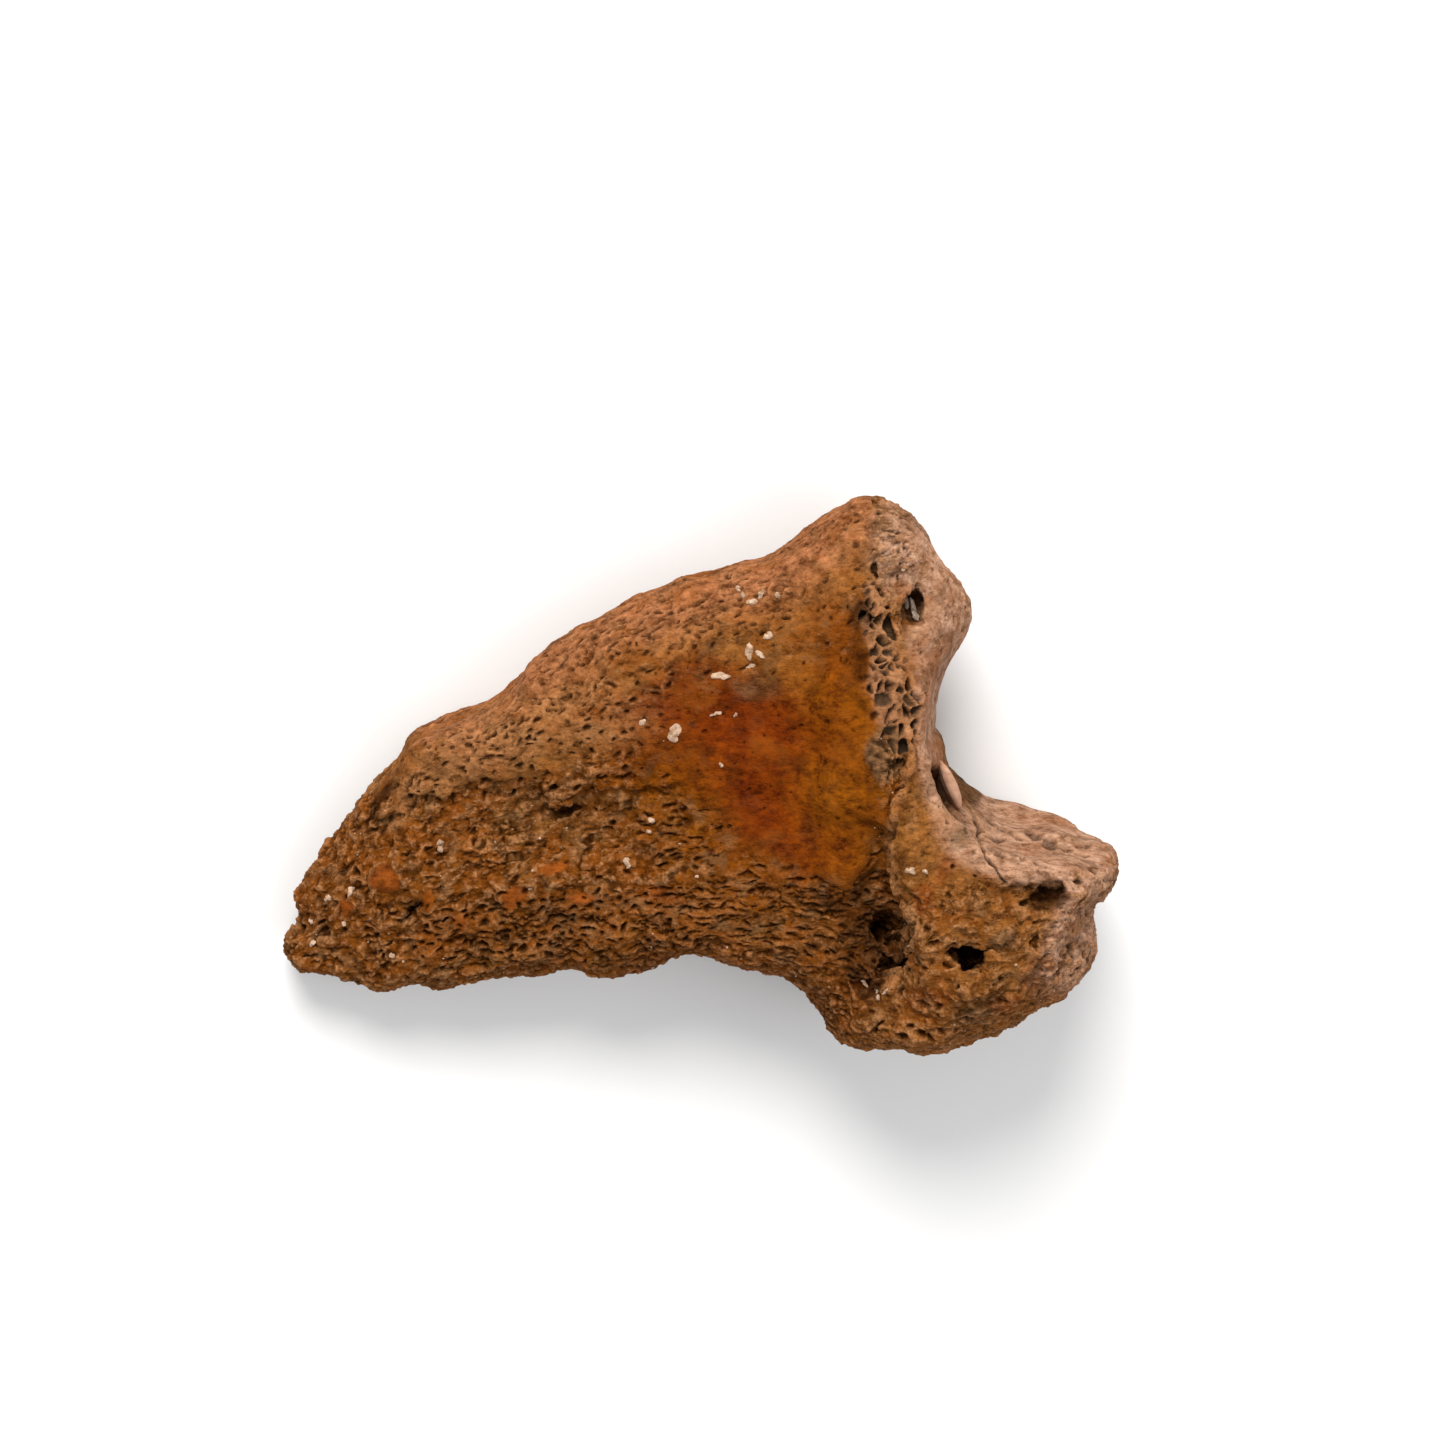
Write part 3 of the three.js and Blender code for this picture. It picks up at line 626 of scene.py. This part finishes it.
strands = squiggles(107, 0.6, 0.16) * np.clip(0.6 * fibrous + recess + 0.5 * tubercle, 0, 1)
cells = cell_depth()
crack = upper * (1 - ramp(np.abs(beside(warped, CRACK)[0]), 0.03, 0.16))
crack *= ramp(noise(points, 1.2, 114), -1.0, -0.4)
furrows = squiggles(95, 0.75, 0.16) * area(AREAS["furrows"], 0.2, 0.6, 0) * (1 - base)
height = plate_relief() + noise_relief() + 0.12 * sponge + 0.10 * strands
dents = dent_depth()
height -= np.max([pore_depth(), cells, 0.25 * furrows, 0.35 * crack, dents], axis=0)
# The drawing's places as they lie in the picture, for what shows only from that side.
seen = np.stack([x, y * cos(VIEW_TILT) - z * sin(VIEW_TILT), z], axis=1)
slit = ramp(z, -6.0, -4.0) * stamp(wander(seen, 0.5, 0.08, 120), *SLIT)
height -= slit * ramp(z, -1.5, -0.5)

relief = height - skin.blurred(height, NARROW_BLUR)
# How far the colour darkens in hollows, vessel openings, the slit, the cells, the crack and the lip's
# dents: partly soil, partly painted shade.
hollow = np.max([
    ramp(-relief, 0.025, 0.17),
    ramp(depth_of_openings(points), 0.15, 0.7),
    ramp(slit, 0.1, 0.35),
    ramp(cells, 0.1, 0.35),
    0.8 * crack,
    0.8 * ramp(dents, 0.08, 0.26),
], axis=0)
# Where the colour turns paler on raised relief, the hood's rim and the strands: partly wear, partly
# painted highlight.
raised = np.max([ramp(relief, 0.015, 0.10), 0.9 * hood_rim, 0.8 * strands], axis=0)
raised *= 1 - 0.6 * np.clip(calm + 0.8 * sole + 0.8 * fibrous, 0, 1)

# ---- colour zones ----------------------------------------
COLOUR_AREAS = {
    "shade": [
        (21.5, -6.2, 1.5, 0.7, 6, 1.6), (9.9, 11.2, 0.8, 1.1, 0, 1), (9.8, 8.6, 0.8, 1.4, 0, 1),
        (9.9, 6.2, 0.5, 0.8, 0, 0.7), (-8.5, -1.6, 3, 0.9, 8, 0.7), (-20.2, -1.5, 2.2, 0.5, 58, 0.9),
        (-18.1, -7.9, 0.9, 0.7, 20, 1), (-23.8, -9.8, 0.9, 0.5, 30, 1),
    ],
    "dusk": [(-7.5, -1.4, 6.5, 2.8, 5, 1)],
    # Painted light on the heel, a side that faces away from the key light.
    "heel_painted_light": [(22.5, -12.2, 2.6, 3.4, 20, 1)],
    "pale": [
        (13.2, 15.5, 3, 3.2, 0, 1), (15.5, 9.5, 3.4, 4, 0, 0.8), (14.4, 4.5, 1.3, 4.2, 0, 0.8),
        (14.8, 0, 1, 2.4, 20, 0.5), (22.5, -3.6, 6, 1.9, -8, 1), (18.4, -3, 3, 1.8, -20, 0.7),
        # These two places on the heel are painted light as well.
        (24, -7.5, 1.9, 4, 0, 0.9), (22.8, -10.2, 2.4, 3, 0, 0.8),
    ],
    "amber": [
        (4.6, 2.4, 8, 8, 0, 1), (9.5, 4, 2.5, 8, 0, 0.8), (1.5, -5, 8, 3.5, 0, 0.7),
        (-3, 1.4, 4.5, 4, 0, 0.8),
    ],
    "ember": [
        (2.4, 5, 6.6, 2.4, -12, 1), (3.2, 0.8, 4, 2.4, -25, 0.7), (5.2, -3.2, 4.5, 2.4, -20, 0.7),
        (-1.2, 6.6, 4.2, 1.4, 15, 0.5), (8.6, 9.8, 1.6, 3, 0, 0.4), (-2.4, 2.6, 4, 3, 0, 0.4),
    ],
    "rust": [
        (14.3, -12.4, 1.6, 0.9, 0, 1.2), (19, -12.8, 1.3, 0.9, 0, 1.2), (13.8, -6, 1, 1.4, 0, 1),
        (-5, -7, 5.5, 1.8, 4, 0.8), (15.2, -4, 0.9, 1.2, 0, 0.8),
    ],
    "grime": [
        (11.2, 8, 1.3, 4, 5, 0.6), (3.7, 6.9, 2.2, 1.4, 0, 0.75), (12.2, 15.3, 0.8, 1.2, 0, 0.5),
        (13, 13.3, 0.8, 0.8, 0, 0.5), (18.9, -8.4, 1.2, 0.8, 20, 1.2), (17.2, -13.6, 1.4, 0.8, 0, 1.2),
        (-18, -8.9, 1.6, 0.8, 0, 0.6), (-9.6, -10.4, 1.6, 0.6, 0, 0.7), (13.1, -0.8, 0.5, 1, 0, 0.8),
        (16.1, -2.2, 0.9, 0.6, -45, 1),
    ],
}
# Painted shadow on the joint's face behind the flake.
FLAKE_SHADOW = (16.0, 0.7, 3.2, 1.3, -62)  # on the joint's far edge, as the picture shows it


def paint(name, low, high, raggedness=0.3):
    """1 inside one of those areas."""
    return area(COLOUR_AREAS[name], low, high, raggedness)


back_side, _ = beside(points + 0.35 * patchy[:, None], BACK_LINE)
near_back = (1 - ramp(back_side, 0.3, 3.4)) * (1 - base) * (1 - sponge)
broken = flaky + sunken + fibrous + tubercle + 0.55 * cortex + 0.4 * side_face + 0.45 * joint + sole
broken = skin.blurred(np.clip(broken, 0, 1), SOFT_BLUR) * (1 - plaque)
stained = np.clip(flaky + 0.2 * tubercle + sole + 0.8 * fibrous, 0, 1) * (1 - 0.5 * ridge_band)
# Painted shadow: the joint's face behind the flake takes the crust's dark colours.
shade_behind_flake = ramp(facing_axis, -0.3, 0.2) * ramp(-z, -1.5, 0.5)
shade_behind_flake *= ramp(spot(seen, *FLAKE_SHADOW) + 0.15 * patchy, 0.2, 0.6)
masks = {
    "hollow": hollow * (1 - 0.3 * calm),
    "raised": raised,
    "broken": broken,
    "shade": np.maximum(0.8 * recess, paint("shade", 0.3, 1.0)),
    "sponge": sponge,
    "umber": skin.blurred(stained, SOFT_BLUR),
    "dusk": paint("dusk", 0.2, 0.8, 0.25) * sunken,
    # Rosy: the back's own colour, and painted light on the heel.
    "rosy": np.maximum(near_back, paint("heel_painted_light", 0.25, 0.9, 0.25)),
    # Pale: the bone's own pale parts, and painted light on the heel.
    "pale": np.maximum(0.3 * sponge, paint("pale", 0.2, 0.9, 0.15)),
    "amber": paint("amber", 0.15, 1.0) * (1 - base),
    "ember": skin.blurred(0.85 * paint("ember", 0.0, 1.0) * (1 - base), WIDE_BLUR),
    "buff": 0.75 * ridge_band * (1 - sunken),
    "rust": 0.8 * np.maximum(plaque, paint("rust", 0.45, 1.0)),
    "grime": 0.75 * paint("grime", 0.3, 1.2, 0.35),
    # Crust: the crust's own colour, and the painted shadow behind the flake.
    "crust": np.maximum(crust, shade_behind_flake),
}


# ---- the finished bone -----------------------------------
TRIANGLES = 192000  # of the finished bone
HIDDEN_THINNING = 0.85  # the part of the hidden side's triangles that goes
SETTLING = 1.2 * MM  # how high over the floor the bone gives way as it is let down


def thin(piece, ratio, group=""):
    """Leaves that part of a piece's triangles, and thins only the named group of its points, if any."""
    decimate = piece.modifiers.new("thin", "DECIMATE")
    decimate.ratio, decimate.vertex_group = ratio, group
    piece.data = made_mesh(piece)
    piece.modifiers.clear()


def settle(places):
    """Lets the worn bone down on the floor again."""
    gap = places[:, 2].min()
    places[:, 2] -= gap * (1 - ramp(places[:, 2], gap, SETTLING))
    places[:, 2] = np.maximum(places[:, 2], 0)
    return places


worn = points + normals * (height * clear_of_floor(points))[:, None]
skin.mesh.vertices.foreach_set("co", settle(to_metres(worn)).ravel())
for name, values in masks.items():
    skin.mesh.attributes.new(name, "FLOAT", "POINT").data.foreach_set("value", values.astype(np.float32))
skin.mesh.update()

bone = add_object("fossil_bone", skin.mesh)
hidden = (z < -1.0) & (normals[:, 2] < -0.2)
bone.vertex_groups.new(name="hidden").add(np.flatnonzero(hidden).tolist(), 1.0, "REPLACE")
thin(bone, 1 - HIDDEN_THINNING * hidden.mean(), "hidden")
bone.vertex_groups.clear()
thin(bone, TRIANGLES / sum(len(face.vertices) - 2 for face in bone.data.polygons))
bone.data.shade_smooth()
bone.data.materials.clear()
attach(bone, "root")
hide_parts("claw_core")


# ---- materials -------------------------------------------
class Nodes:
    """Short hands for building a node tree."""

    def __init__(self, name):
        self.material = bpy.data.materials.new(name)
        self.material.use_nodes = True
        self.tree = self.material.node_tree
        self.shader = self.tree.nodes["Principled BSDF"]

    def put(self, value, socket):
        if isinstance(value, bpy.types.NodeSocket):
            self.tree.links.new(value, socket)
        elif socket.type == "RGBA":
            socket.default_value = (*value, 1)
        else:
            socket.default_value = value

    def add(self, kind, inputs=None, **settings):
        node = self.tree.nodes.new("ShaderNode" + kind)
        for key, value in settings.items():
            setattr(node, key, value)
        for key, value in (inputs or {}).items():
            self.put(value, node.inputs[key])
        return node

    def zone(self, name):
        return self.add("Attribute", attribute_name=name).outputs["Fac"]

    def mix(self, factor, a, b):
        inputs = {0: factor, 6: a, 7: b}  # the sockets that a mix of colours uses, by number
        return self.add("Mix", inputs, data_type="RGBA").outputs[2]

    def times(self, a, b):
        return self.add("Math", {0: a, 1: b}, operation="MULTIPLY").outputs[0]

    def span(self, value, low, high, to_low=0.0, to_high=1.0):
        limits = {"Value": value, "From Min": low, "From Max": high, "To Min": to_low, "To Max": to_high}
        return self.add("MapRange", limits).outputs["Result"]

    def moved(self, vector, push):
        return self.add("VectorMath", {0: vector, 1: push}, operation="ADD").outputs["Vector"]

    def ragged(self, vector, scale, amount):
        """A place, pushed aside by noise of that scale."""
        cloud = self.add("TexNoise", {"Vector": vector, "Scale": scale, "Detail": 2.0})
        push = self.moved(cloud.outputs["Color"], (-0.5, -0.5, -0.5))
        push = self.add("VectorMath", {0: push, "Scale": amount}, operation="SCALE")
        return self.moved(vector, push.outputs["Vector"])

    def noise(self, vector, scale, detail, roughness):
        inputs = {"Vector": vector, "Scale": scale, "Detail": detail, "Roughness": roughness}
        return self.add("TexNoise", inputs).outputs["Fac"]

    def bump(self, height, size, strength, under=None):
        """The finest relief, of that size in metres, over other relief if some is given."""
        inputs = {"Strength": strength, "Distance": size, "Height": height}
        if under:
            inputs["Normal"] = under
        return self.add("Bump", inputs).outputs["Normal"]

    def surface(self, inputs):
        """Gives the surface its inputs and returns the finished material."""
        for name, value in inputs.items():
            self.put(value, self.shader.inputs[name])
        return self.material


# The bone's colours: (darker, lighter) of each zone's mottling.
ZONE_COLOURS = {
    "umber": ((0.036, 0.0095, 0.0008), (0.270, 0.079, 0.008)),
    "dusk": ((0.040, 0.013, 0.0025), (0.240, 0.090, 0.018)),
    "amber": ((0.050, 0.010, 0.0004), (0.275, 0.076, 0.0025)),
    "rosy": ((0.075, 0.018, 0.003), (0.540, 0.215, 0.088)),
    "buff": ((0.085, 0.026, 0.004), (0.520, 0.230, 0.090)),
    "ember": ((0.050, 0.0042, 0.0002), (0.200, 0.028, 0.0006)),
    "rust": ((0.075, 0.014, 0.0015), (0.340, 0.082, 0.011)),
    "pale": ((0.175, 0.072, 0.032), (0.640, 0.385, 0.255)),
    "grime": ((0.042, 0.022, 0.009), (0.205, 0.115, 0.055)),
    # Crust also colours the painted shadow behind the flake.
    "crust": ((0.024, 0.009, 0.002), (0.190, 0.095, 0.042)),
}
OCHRE = (0.075, 0.022, 0.003), (0.370, 0.142, 0.032)
ORANGE = (0.20, 0.052, 0.004)
OLIVE = (0.115, 0.054, 0.010)
DARK_STAIN = (0.045, 0.0135, 0.0015)
GREY_STAIN = (0.205, 0.100, 0.038)
# Paler colour of raised parts: wear and painted highlight.
WORN_AND_HIGHLIGHT = (0.50, 0.235, 0.098)
FLECK = (0.42, 0.26, 0.17)
# Soil and painted shade: for the fibres' grooves, the shade areas and the hollows; the grey one is for
# the spongy cells.
SOIL_AND_SHADE = (0.014, 0.0036, 0.0004)
GREY_SOIL_AND_SHADE = (0.036, 0.024, 0.014)
BONE_SHEEN, STONE_SHEEN = 0.025, 0.1
# The small pieces' colours, as pairs too.
MINERAL = (0.22, 0.13, 0.075), (0.50, 0.34, 0.235)
CRYSTAL = (0.19, 0.14, 0.105), (0.48, 0.385, 0.30)
FRESH_BONE = (0.24, 0.11, 0.06), (0.52, 0.31, 0.21)


def bone_material():
    """Old bone stained by the cave's earth: zones of colour, each mottled, darkened in the hollows by
    earth and painted shade.
    """
    n = Nodes("fossil_bone")
    place = n.add("TexCoord").outputs["Object"]
    elsewhere = n.add("Mapping", {"Vector": place, "Location": (1, 1, 1)}).outputs["Vector"]
    slant = {"Vector": place, "Rotation": (0, 0, radians(-BLADE_SLANT)), "Scale": (0.45, 1, 1)}
    along = n.ragged(n.add("Mapping", slant).outputs["Vector"], 1800, 0.00025)
    patches, far_patches = n.noise(place, 260, 3, 0.6), n.noise(elsewhere, 330, 3, 0.6)
    stains, greys = n.noise(place, 560, 3, 0.6), n.noise(elsewhere, 640, 3, 0.6)
    mottle, fibres = n.noise(place, 800, 5, 0.7), n.noise(along, 2600, 4, 0.75)
    grit = n.noise(place, 5200, 3, 0.7)
    flakes = n.add("TexVoronoi", {"Vector": along, "Scale": 2900.0}).outputs["Color"]
    broken = n.zone("broken")
    sharp_tone = n.span(n.mix(0.5, n.mix(0.45, mottle, fibres), n.mix(0.35, grit, flakes)), 0.39, 0.67)
    calm_tone = n.span(n.mix(0.45, mottle, fibres), 0.38, 0.66)
    tone = n.mix(broken, calm_tone, sharp_tone)

    colour = n.mix(tone, *OCHRE)
    for name, pair in ZONE_COLOURS.items():
        colour = n.mix(n.zone(name), colour, n.mix(tone, *pair))
    colour = n.mix(n.span(patches, 0.52, 0.66, 0, 0.5), colour, ORANGE)
    colour = n.mix(n.times(n.span(far_patches, 0.5, 0.72, 0, 0.35), broken), colour, OLIVE)
    colour = n.mix(n.times(n.span(stains, 0.53, 0.62, 0, 0.55), broken), colour, ORANGE)
    dark = n.times(n.span(stains, 0.46, 0.38, 0, 0.5), n.span(broken, 0, 1, 0.6, 1))
    colour = n.mix(dark, colour, DARK_STAIN)
    grey = n.times(n.span(greys, 0.55, 0.66, 0, 0.5), n.span(broken, 0, 1, 0.1, 1))
    colour = n.mix(grey, colour, GREY_STAIN)
    # Raised parts paler: wear and painted highlight.
    rubbed_and_highlit = n.times(n.zone("raised"), n.span(broken, 0, 1, 0.3, 1))
    colour = n.mix(n.times(rubbed_and_highlit, n.span(grit, 0.35, 0.65, 0.15, 0.7)), colour, WORN_AND_HIGHLIGHT)
    colour = n.mix(n.times(broken, n.span(grit, 0.64, 0.74, 0, 0.2)), colour, FLECK)
    # A dark stain along the fibres, then painted shade over the shade areas, then soil and painted shade
    # in the hollows.
    colour = n.mix(n.times(n.span(fibres, 0.45, 0.34), n.span(broken, 0, 1, 0.2, 0.6)), colour, SOIL_AND_SHADE)
    colour = n.mix(n.times(n.zone("shade"), n.span(mottle, 0.35, 0.6, 0.9, 0.5)), colour, SOIL_AND_SHADE)
    soil_and_shade = n.mix(n.zone("sponge"), SOIL_AND_SHADE, GREY_SOIL_AND_SHADE)
    colour = n.mix(n.times(n.zone("hollow"), n.span(grit, 0.3, 0.7, 0.95, 0.7)), colour, soil_and_shade)

    depth = n.span(broken, 0, 1, 0.55, 1.0)
    relief = n.bump(flakes, 0.00009, depth)
    relief = n.bump(fibres, 0.00028, depth, relief)
    relief = n.bump(grit, 0.00010, depth, relief)
    return n.surface({
        "Base Color": colour,
        "Roughness": n.span(n.zone("ember"), 0, 1, 0.7, 0.5),
        "Specular IOR Level": BONE_SHEEN,
        "Normal": relief,
    })


def stone_material(name, darker, lighter, stain_scale=2200):
    """Stained stone, or a fresh splinter of bone, in two tones."""
    n = Nodes(name)
    place = n.add("TexCoord").outputs["Object"]
    stain = n.span(n.noise(place, stain_scale, 4, 0.7), 0.35, 0.6)
    return n.surface({
        "Base Color": n.mix(stain, darker, lighter),
        "Roughness": 0.7,
        "Specular IOR Level": STONE_SHEEN,
        "Normal": n.bump(n.noise(place, 7000, 2, 0.5), 0.00005, 0.6),
    })


bone.data.materials.append(bone_material())

# ---- small pieces that lie on the bone -------------------
# Lumps of pale mineral stuck to the bone: (x, y, half length, half width, degrees).
MINERAL_SPECKS = [
    (1.25, 7.4, 0.62, 0.24, 8), (3.1, 8.9, 0.28, 0.6, 8), (3.75, 8.75, 0.18, 0.3, 40),
    (3.2, 8, 0.3, 0.14, 10), (4.2, 9.9, 0.24, 0.22, 30), (2.5, 12.3, 0.16, 0.4, 35),
    (3.2, 11.8, 0.34, 0.2, -15), (3.8, 12.3, 0.14, 0.34, -25), (4.8, 12.3, 0.2, 0.16, 0),
    (-1.6, 3.7, 0.36, 0.62, -5), (-3.6, 4.4, 0.2, 0.24, 0), (1, 5, 0.36, 0.12, 15),
    (2.2, 4.9, 0.1, 0.14, 0), (-4.5, -4.6, 0.22, 0.42, 5), (-3.1, -1.9, 0.24, 0.2, 10),
    (-3.2, -2.7, 0.16, 0.16, 0), (-0.2, -5.4, 0.12, 0.12, 0), (1.3, 1.8, 0.12, 0.12, 0),
    (-10.6, -6.3, 0.16, 0.14, 0), (-16.2, -3.8, 0.3, 0.4, 0), (-21.9, -6.8, 0.2, 0.3, -20),
    (-23.4, -7.4, 0.24, 0.2, 0), (-22.4, -9, 0.16, 0.2, 0), (-24.5, -9.1, 0.16, 0.16, 0),
    (-24.4, -10.4, 0.24, 0.2, 0), (-19.4, -11, 0.22, 0.18, 0), (13, -4, 0.4, 0.2, -5),
    (13.9, -4.1, 0.18, 0.12, -20), (13, -8.2, 0.14, 0.12, 0), (10.3, -12.3, 0.36, 0.12, -60),
    (11.1, -12.9, 0.16, 0.4, 10), (17.9, -8.6, 0.3, 0.08, 15), (11.6, -12.5, 0.36, 0.1, 50),
    (12.6, 13.9, 0.14, 0.14, 0),
]
DUST_GRAINS = 90
SPECK_LIFT = (0, 0, 0.04)  # how far the middle of a speck stands off the bone, in mm
# The crystals in the pit: (x, y, how far from there, half lengths, degrees).
PIT_CRYSTALS = [
    (13.2, 11.3, (0.0, -0.1, 0.35), (0.85, 0.26, 0.3), 108),
    (12.9, 11.6, (-0.05, 0.1, 0.2), (0.6, 0.2, 0.3), 95),
    (13.4, 10.9, (0.05, -0.15, 0.4), (0.45, 0.24, 0.22), 130),
]
on_upper_side = np.flatnonzero((z > 0) & (normals[:, 2] > 0.15))


def on_top(px, py):
    """The point of the upper side at a place of the drawing."""
    distance = (worn[on_upper_side, 0] - px) ** 2 + (worn[on_upper_side, 1] - py) ** 2
    return worn[on_upper_side[np.argmin(distance)]]


def add_grain(lump, place, half_long, half_wide, half_high, degrees, facet_count=7):
    """Adds one grain with flat, chipped faces to a mesh."""
    corners = bmesh.ops.create_icosphere(lump, subdivisions=2, radius=1.0)["verts"]
    facets = rng.normal(size=(facet_count, 3))
    facets /= np.linalg.norm(facets, axis=1)[:, None]
    cut = rng.uniform(0.45, 0.8, facet_count)
    turn = np.array(Matrix.Rotation(radians(degrees), 3, "Z"))
    for vert in corners:
        corner = np.array(vert.co)
        reach = facets @ corner
        corner = corner / np.max(np.where(reach > cut, reach / cut, 1.0)) * rng.uniform(0.9, 1.1)
        vert.co = to_metres(np.array(place) + turn @ (corner * [half_long, half_wide, half_high]))


def add_lump(lump, px, py, half_long, half_wide, degrees):
    """Adds one irregular lump, made of a few grains that overlap."""
    if half_wide > half_long:
        half_long, half_wide, degrees = half_wide, half_long, degrees + 90
    turn = np.array(Matrix.Rotation(radians(degrees), 3, "Z"))
    thick = min(half_long, half_wide)
    for share in (-0.4, 0.05, 0.4):
        offset = turn @ [share * half_long, rng.uniform(-0.25, 0.25) * half_wide, 0]
        size = np.array([0.7 * half_long + 0.03, 1.1 * half_wide, 0.5 * thick + 0.05])
        size *= rng.uniform(0.8, 1.1)
        place = on_top(px + offset[0], py + offset[1]) + SPECK_LIFT
        add_grain(lump, place, *size, degrees + rng.uniform(-25, 25), facet_count=8)


def small_piece(name, lump, material):
    mesh = bpy.data.meshes.new(name)
    lump.to_mesh(mesh)
    lump.free()
    mesh.materials.append(material)
    piece = add_object(name, mesh)
    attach(piece, "root")


def make_mineral_specks():
    lump = bmesh.new()
    for speck in MINERAL_SPECKS:
        add_lump(lump, *speck)
    dusty = np.flatnonzero((z > 0.5) & (scaly + 0.4 * tubercle > 0.35))
    for i in rng.choice(dusty, DUST_GRAINS, replace=False):
        size = rng.uniform(0.05, 0.12)
        add_grain(lump, worn[i], size, size * rng.uniform(0.6, 1), size, rng.uniform(0, 180))
    small_piece("mineral_specks", lump, stone_material("pale_mineral", *MINERAL))


def make_pit_chip():
    """The pale broken crystals that fill the pit beside the rim."""
    lump = bmesh.new()
    for px, py, offset, half_lengths, degrees in PIT_CRYSTALS:
        add_grain(lump, on_top(px, py) + offset, *half_lengths, degrees, facet_count=5)
    small_piece("pit_chip", lump, stone_material("chip", *CRYSTAL))


FLAKE_STEPS = 17
FLAKE_TOP, FLAKE_FOOT = (15.0, 1.5, 2.4), (16.3, -1.6, 2.4)  # the ends of its free edge in the drawing
FLAKE_WAY = (-0.19, -0.31, -1.0)  # from its free edge into the joint's face, for each mm of depth
TOWARDS_JOINT = np.array([0.91, 0.41, 0])
# The flake's section: (part of its half width, depth below its free edge in mm).
FLAKE_SECTION = [
    (-0.9, 0.25), (-0.5, 0.05), (0, 0), (0.6, 0.06), (1, 0.3), (0.9, 1.6), (0.5, 3.2), (-0.5, 3.2),
    (-0.8, 1.6),
]


def make_joint_flake():
    """The splinter that stands off the joint's margin, joined to it at both ends and below."""
    lump = bmesh.new()
    rows = []
    for t in np.linspace(0, 1, FLAKE_STEPS):
        bow = sin(pi * t) ** 0.7
        edge = (1 - t) * np.array(FLAKE_TOP) + t * np.array(FLAKE_FOOT) + [0, 0, 0.7 * bow]
        edge += (0.18 * bow + 0.008 * rng.normal()) * TOWARDS_JOINT
        half = (0.07 + 0.3 * bow) * rng.uniform(0.98, 1.02)
        reach = 0.3 + 0.7 * bow
        row = []
        for share, depth in FLAKE_SECTION:
            corner = edge + share * half * TOWARDS_JOINT + depth * reach * np.array(FLAKE_WAY)
            row.append(lump.verts.new(to_metres(corner)))
        rows.append(row)
    count = len(FLAKE_SECTION)
    for a, b in zip(rows, rows[1:]):
        for k in range(count):
            lump.faces.new((a[k], b[k], b[(k + 1) % count], a[(k + 1) % count]))
    lump.faces.new(rows[0])
    lump.faces.new(rows[-1][::-1])
    bmesh.ops.recalc_face_normals(lump, faces=lump.faces)
    bmesh.ops.subdivide_edges(lump, edges=lump.edges, cuts=1, use_grid_fill=True, smooth=0.4)
    small_piece("joint_flake", lump, stone_material("flake_bone", *FRESH_BONE, stain_scale=500))


make_mineral_specks()
make_pit_chip()
make_joint_flake()

# ---- floor, light and camera -----------------------------
FRAME_WIDTH = 0.0901  # what the picture spans at the bone, in metres
CAMERA_DISTANCE = 0.42
# The middle of the picture: right of, above and in front of the drawing's origin, in mm.
PICTURE_CENTRE = (1.403, 3.34, 4.0)
SENSOR_WIDTH = 36  # of the camera, in mm
FLOOR_HALF = 2.0
FLOOR_COLOUR = (0.78, 0.78, 0.78)
BONE_MIDDLE = (0, 0, 0.008)
# The lights: (name, position, size, watts, colour).
LIGHTS = [
    ("key", (-0.20, 0.92, 0.80), 0.60, 19.5, (1.0, 0.98, 0.95)),
    ("fill", (0.60, -0.2, 1.0), 1.0, 3.2, (0.95, 0.97, 1.0)),
]
SKY_STRENGTH = 0.70


def make_floor():
    material = Nodes("pale_floor").surface({"Base Color": FLOOR_COLOUR, "Roughness": 0.7})
    mesh = bpy.data.meshes.new("floor")
    corners = [(-1, -1), (1, -1), (1, 1), (-1, 1)]
    mesh.from_pydata([(FLOOR_HALF * a, FLOOR_HALF * b, 0) for a, b in corners], [], [(0, 1, 2, 3)])
    mesh.materials.append(material)
    floor = add_object("floor", mesh)


def make_light(name, position, size, watts, colour):
    """A round soft light, aimed at the bone."""
    lamp = bpy.data.lights.new(name, "AREA")
    lamp.shape, lamp.size, lamp.energy, lamp.color = "DISK", size, watts, colour
    light = add_object(name, lamp)
    light.location = position
    light.rotation_euler = (Vector(position) - Vector(BONE_MIDDLE)).to_track_quat("Z", "Y").to_euler()


def make_world():
    world = bpy.data.worlds.new("studio")
    scene.world = world
    world.use_nodes = True
    sky = world.node_tree.nodes["Background"].inputs
    sky["Color"].default_value = (1, 1, 1, 1)
    sky["Strength"].default_value = SKY_STRENGTH


def make_camera():
    """Looks down on the bone from the side that the photo shows."""
    right = np.array([1.0, 0, 0])
    up = np.array([0, cos(VIEW_TILT), -sin(VIEW_TILT)])
    towards = np.array([0, sin(VIEW_TILT), cos(VIEW_TILT)])
    centre = PICTURE_CENTRE[0] * right + PICTURE_CENTRE[1] * up + PICTURE_CENTRE[2] * towards
    data = bpy.data.cameras.new("camera")
    data.sensor_width = SENSOR_WIDTH
    data.lens = SENSOR_WIDTH * CAMERA_DISTANCE / FRAME_WIDTH
    data.clip_start = 0.01
    camera = add_object("camera", data)
    axes = Matrix([TURN @ right, TURN @ up, TURN @ towards]).transposed()
    place = Vector(to_metres(centre)) + Vector(TURN @ towards) * CAMERA_DISTANCE
    camera.matrix_world = Matrix.Translation(place) @ axes.to_4x4()
    scene.camera = camera


make_floor()
for light in LIGHTS:
    make_light(*light)
make_world()
make_camera()
scene.view_settings.view_transform = "Standard"
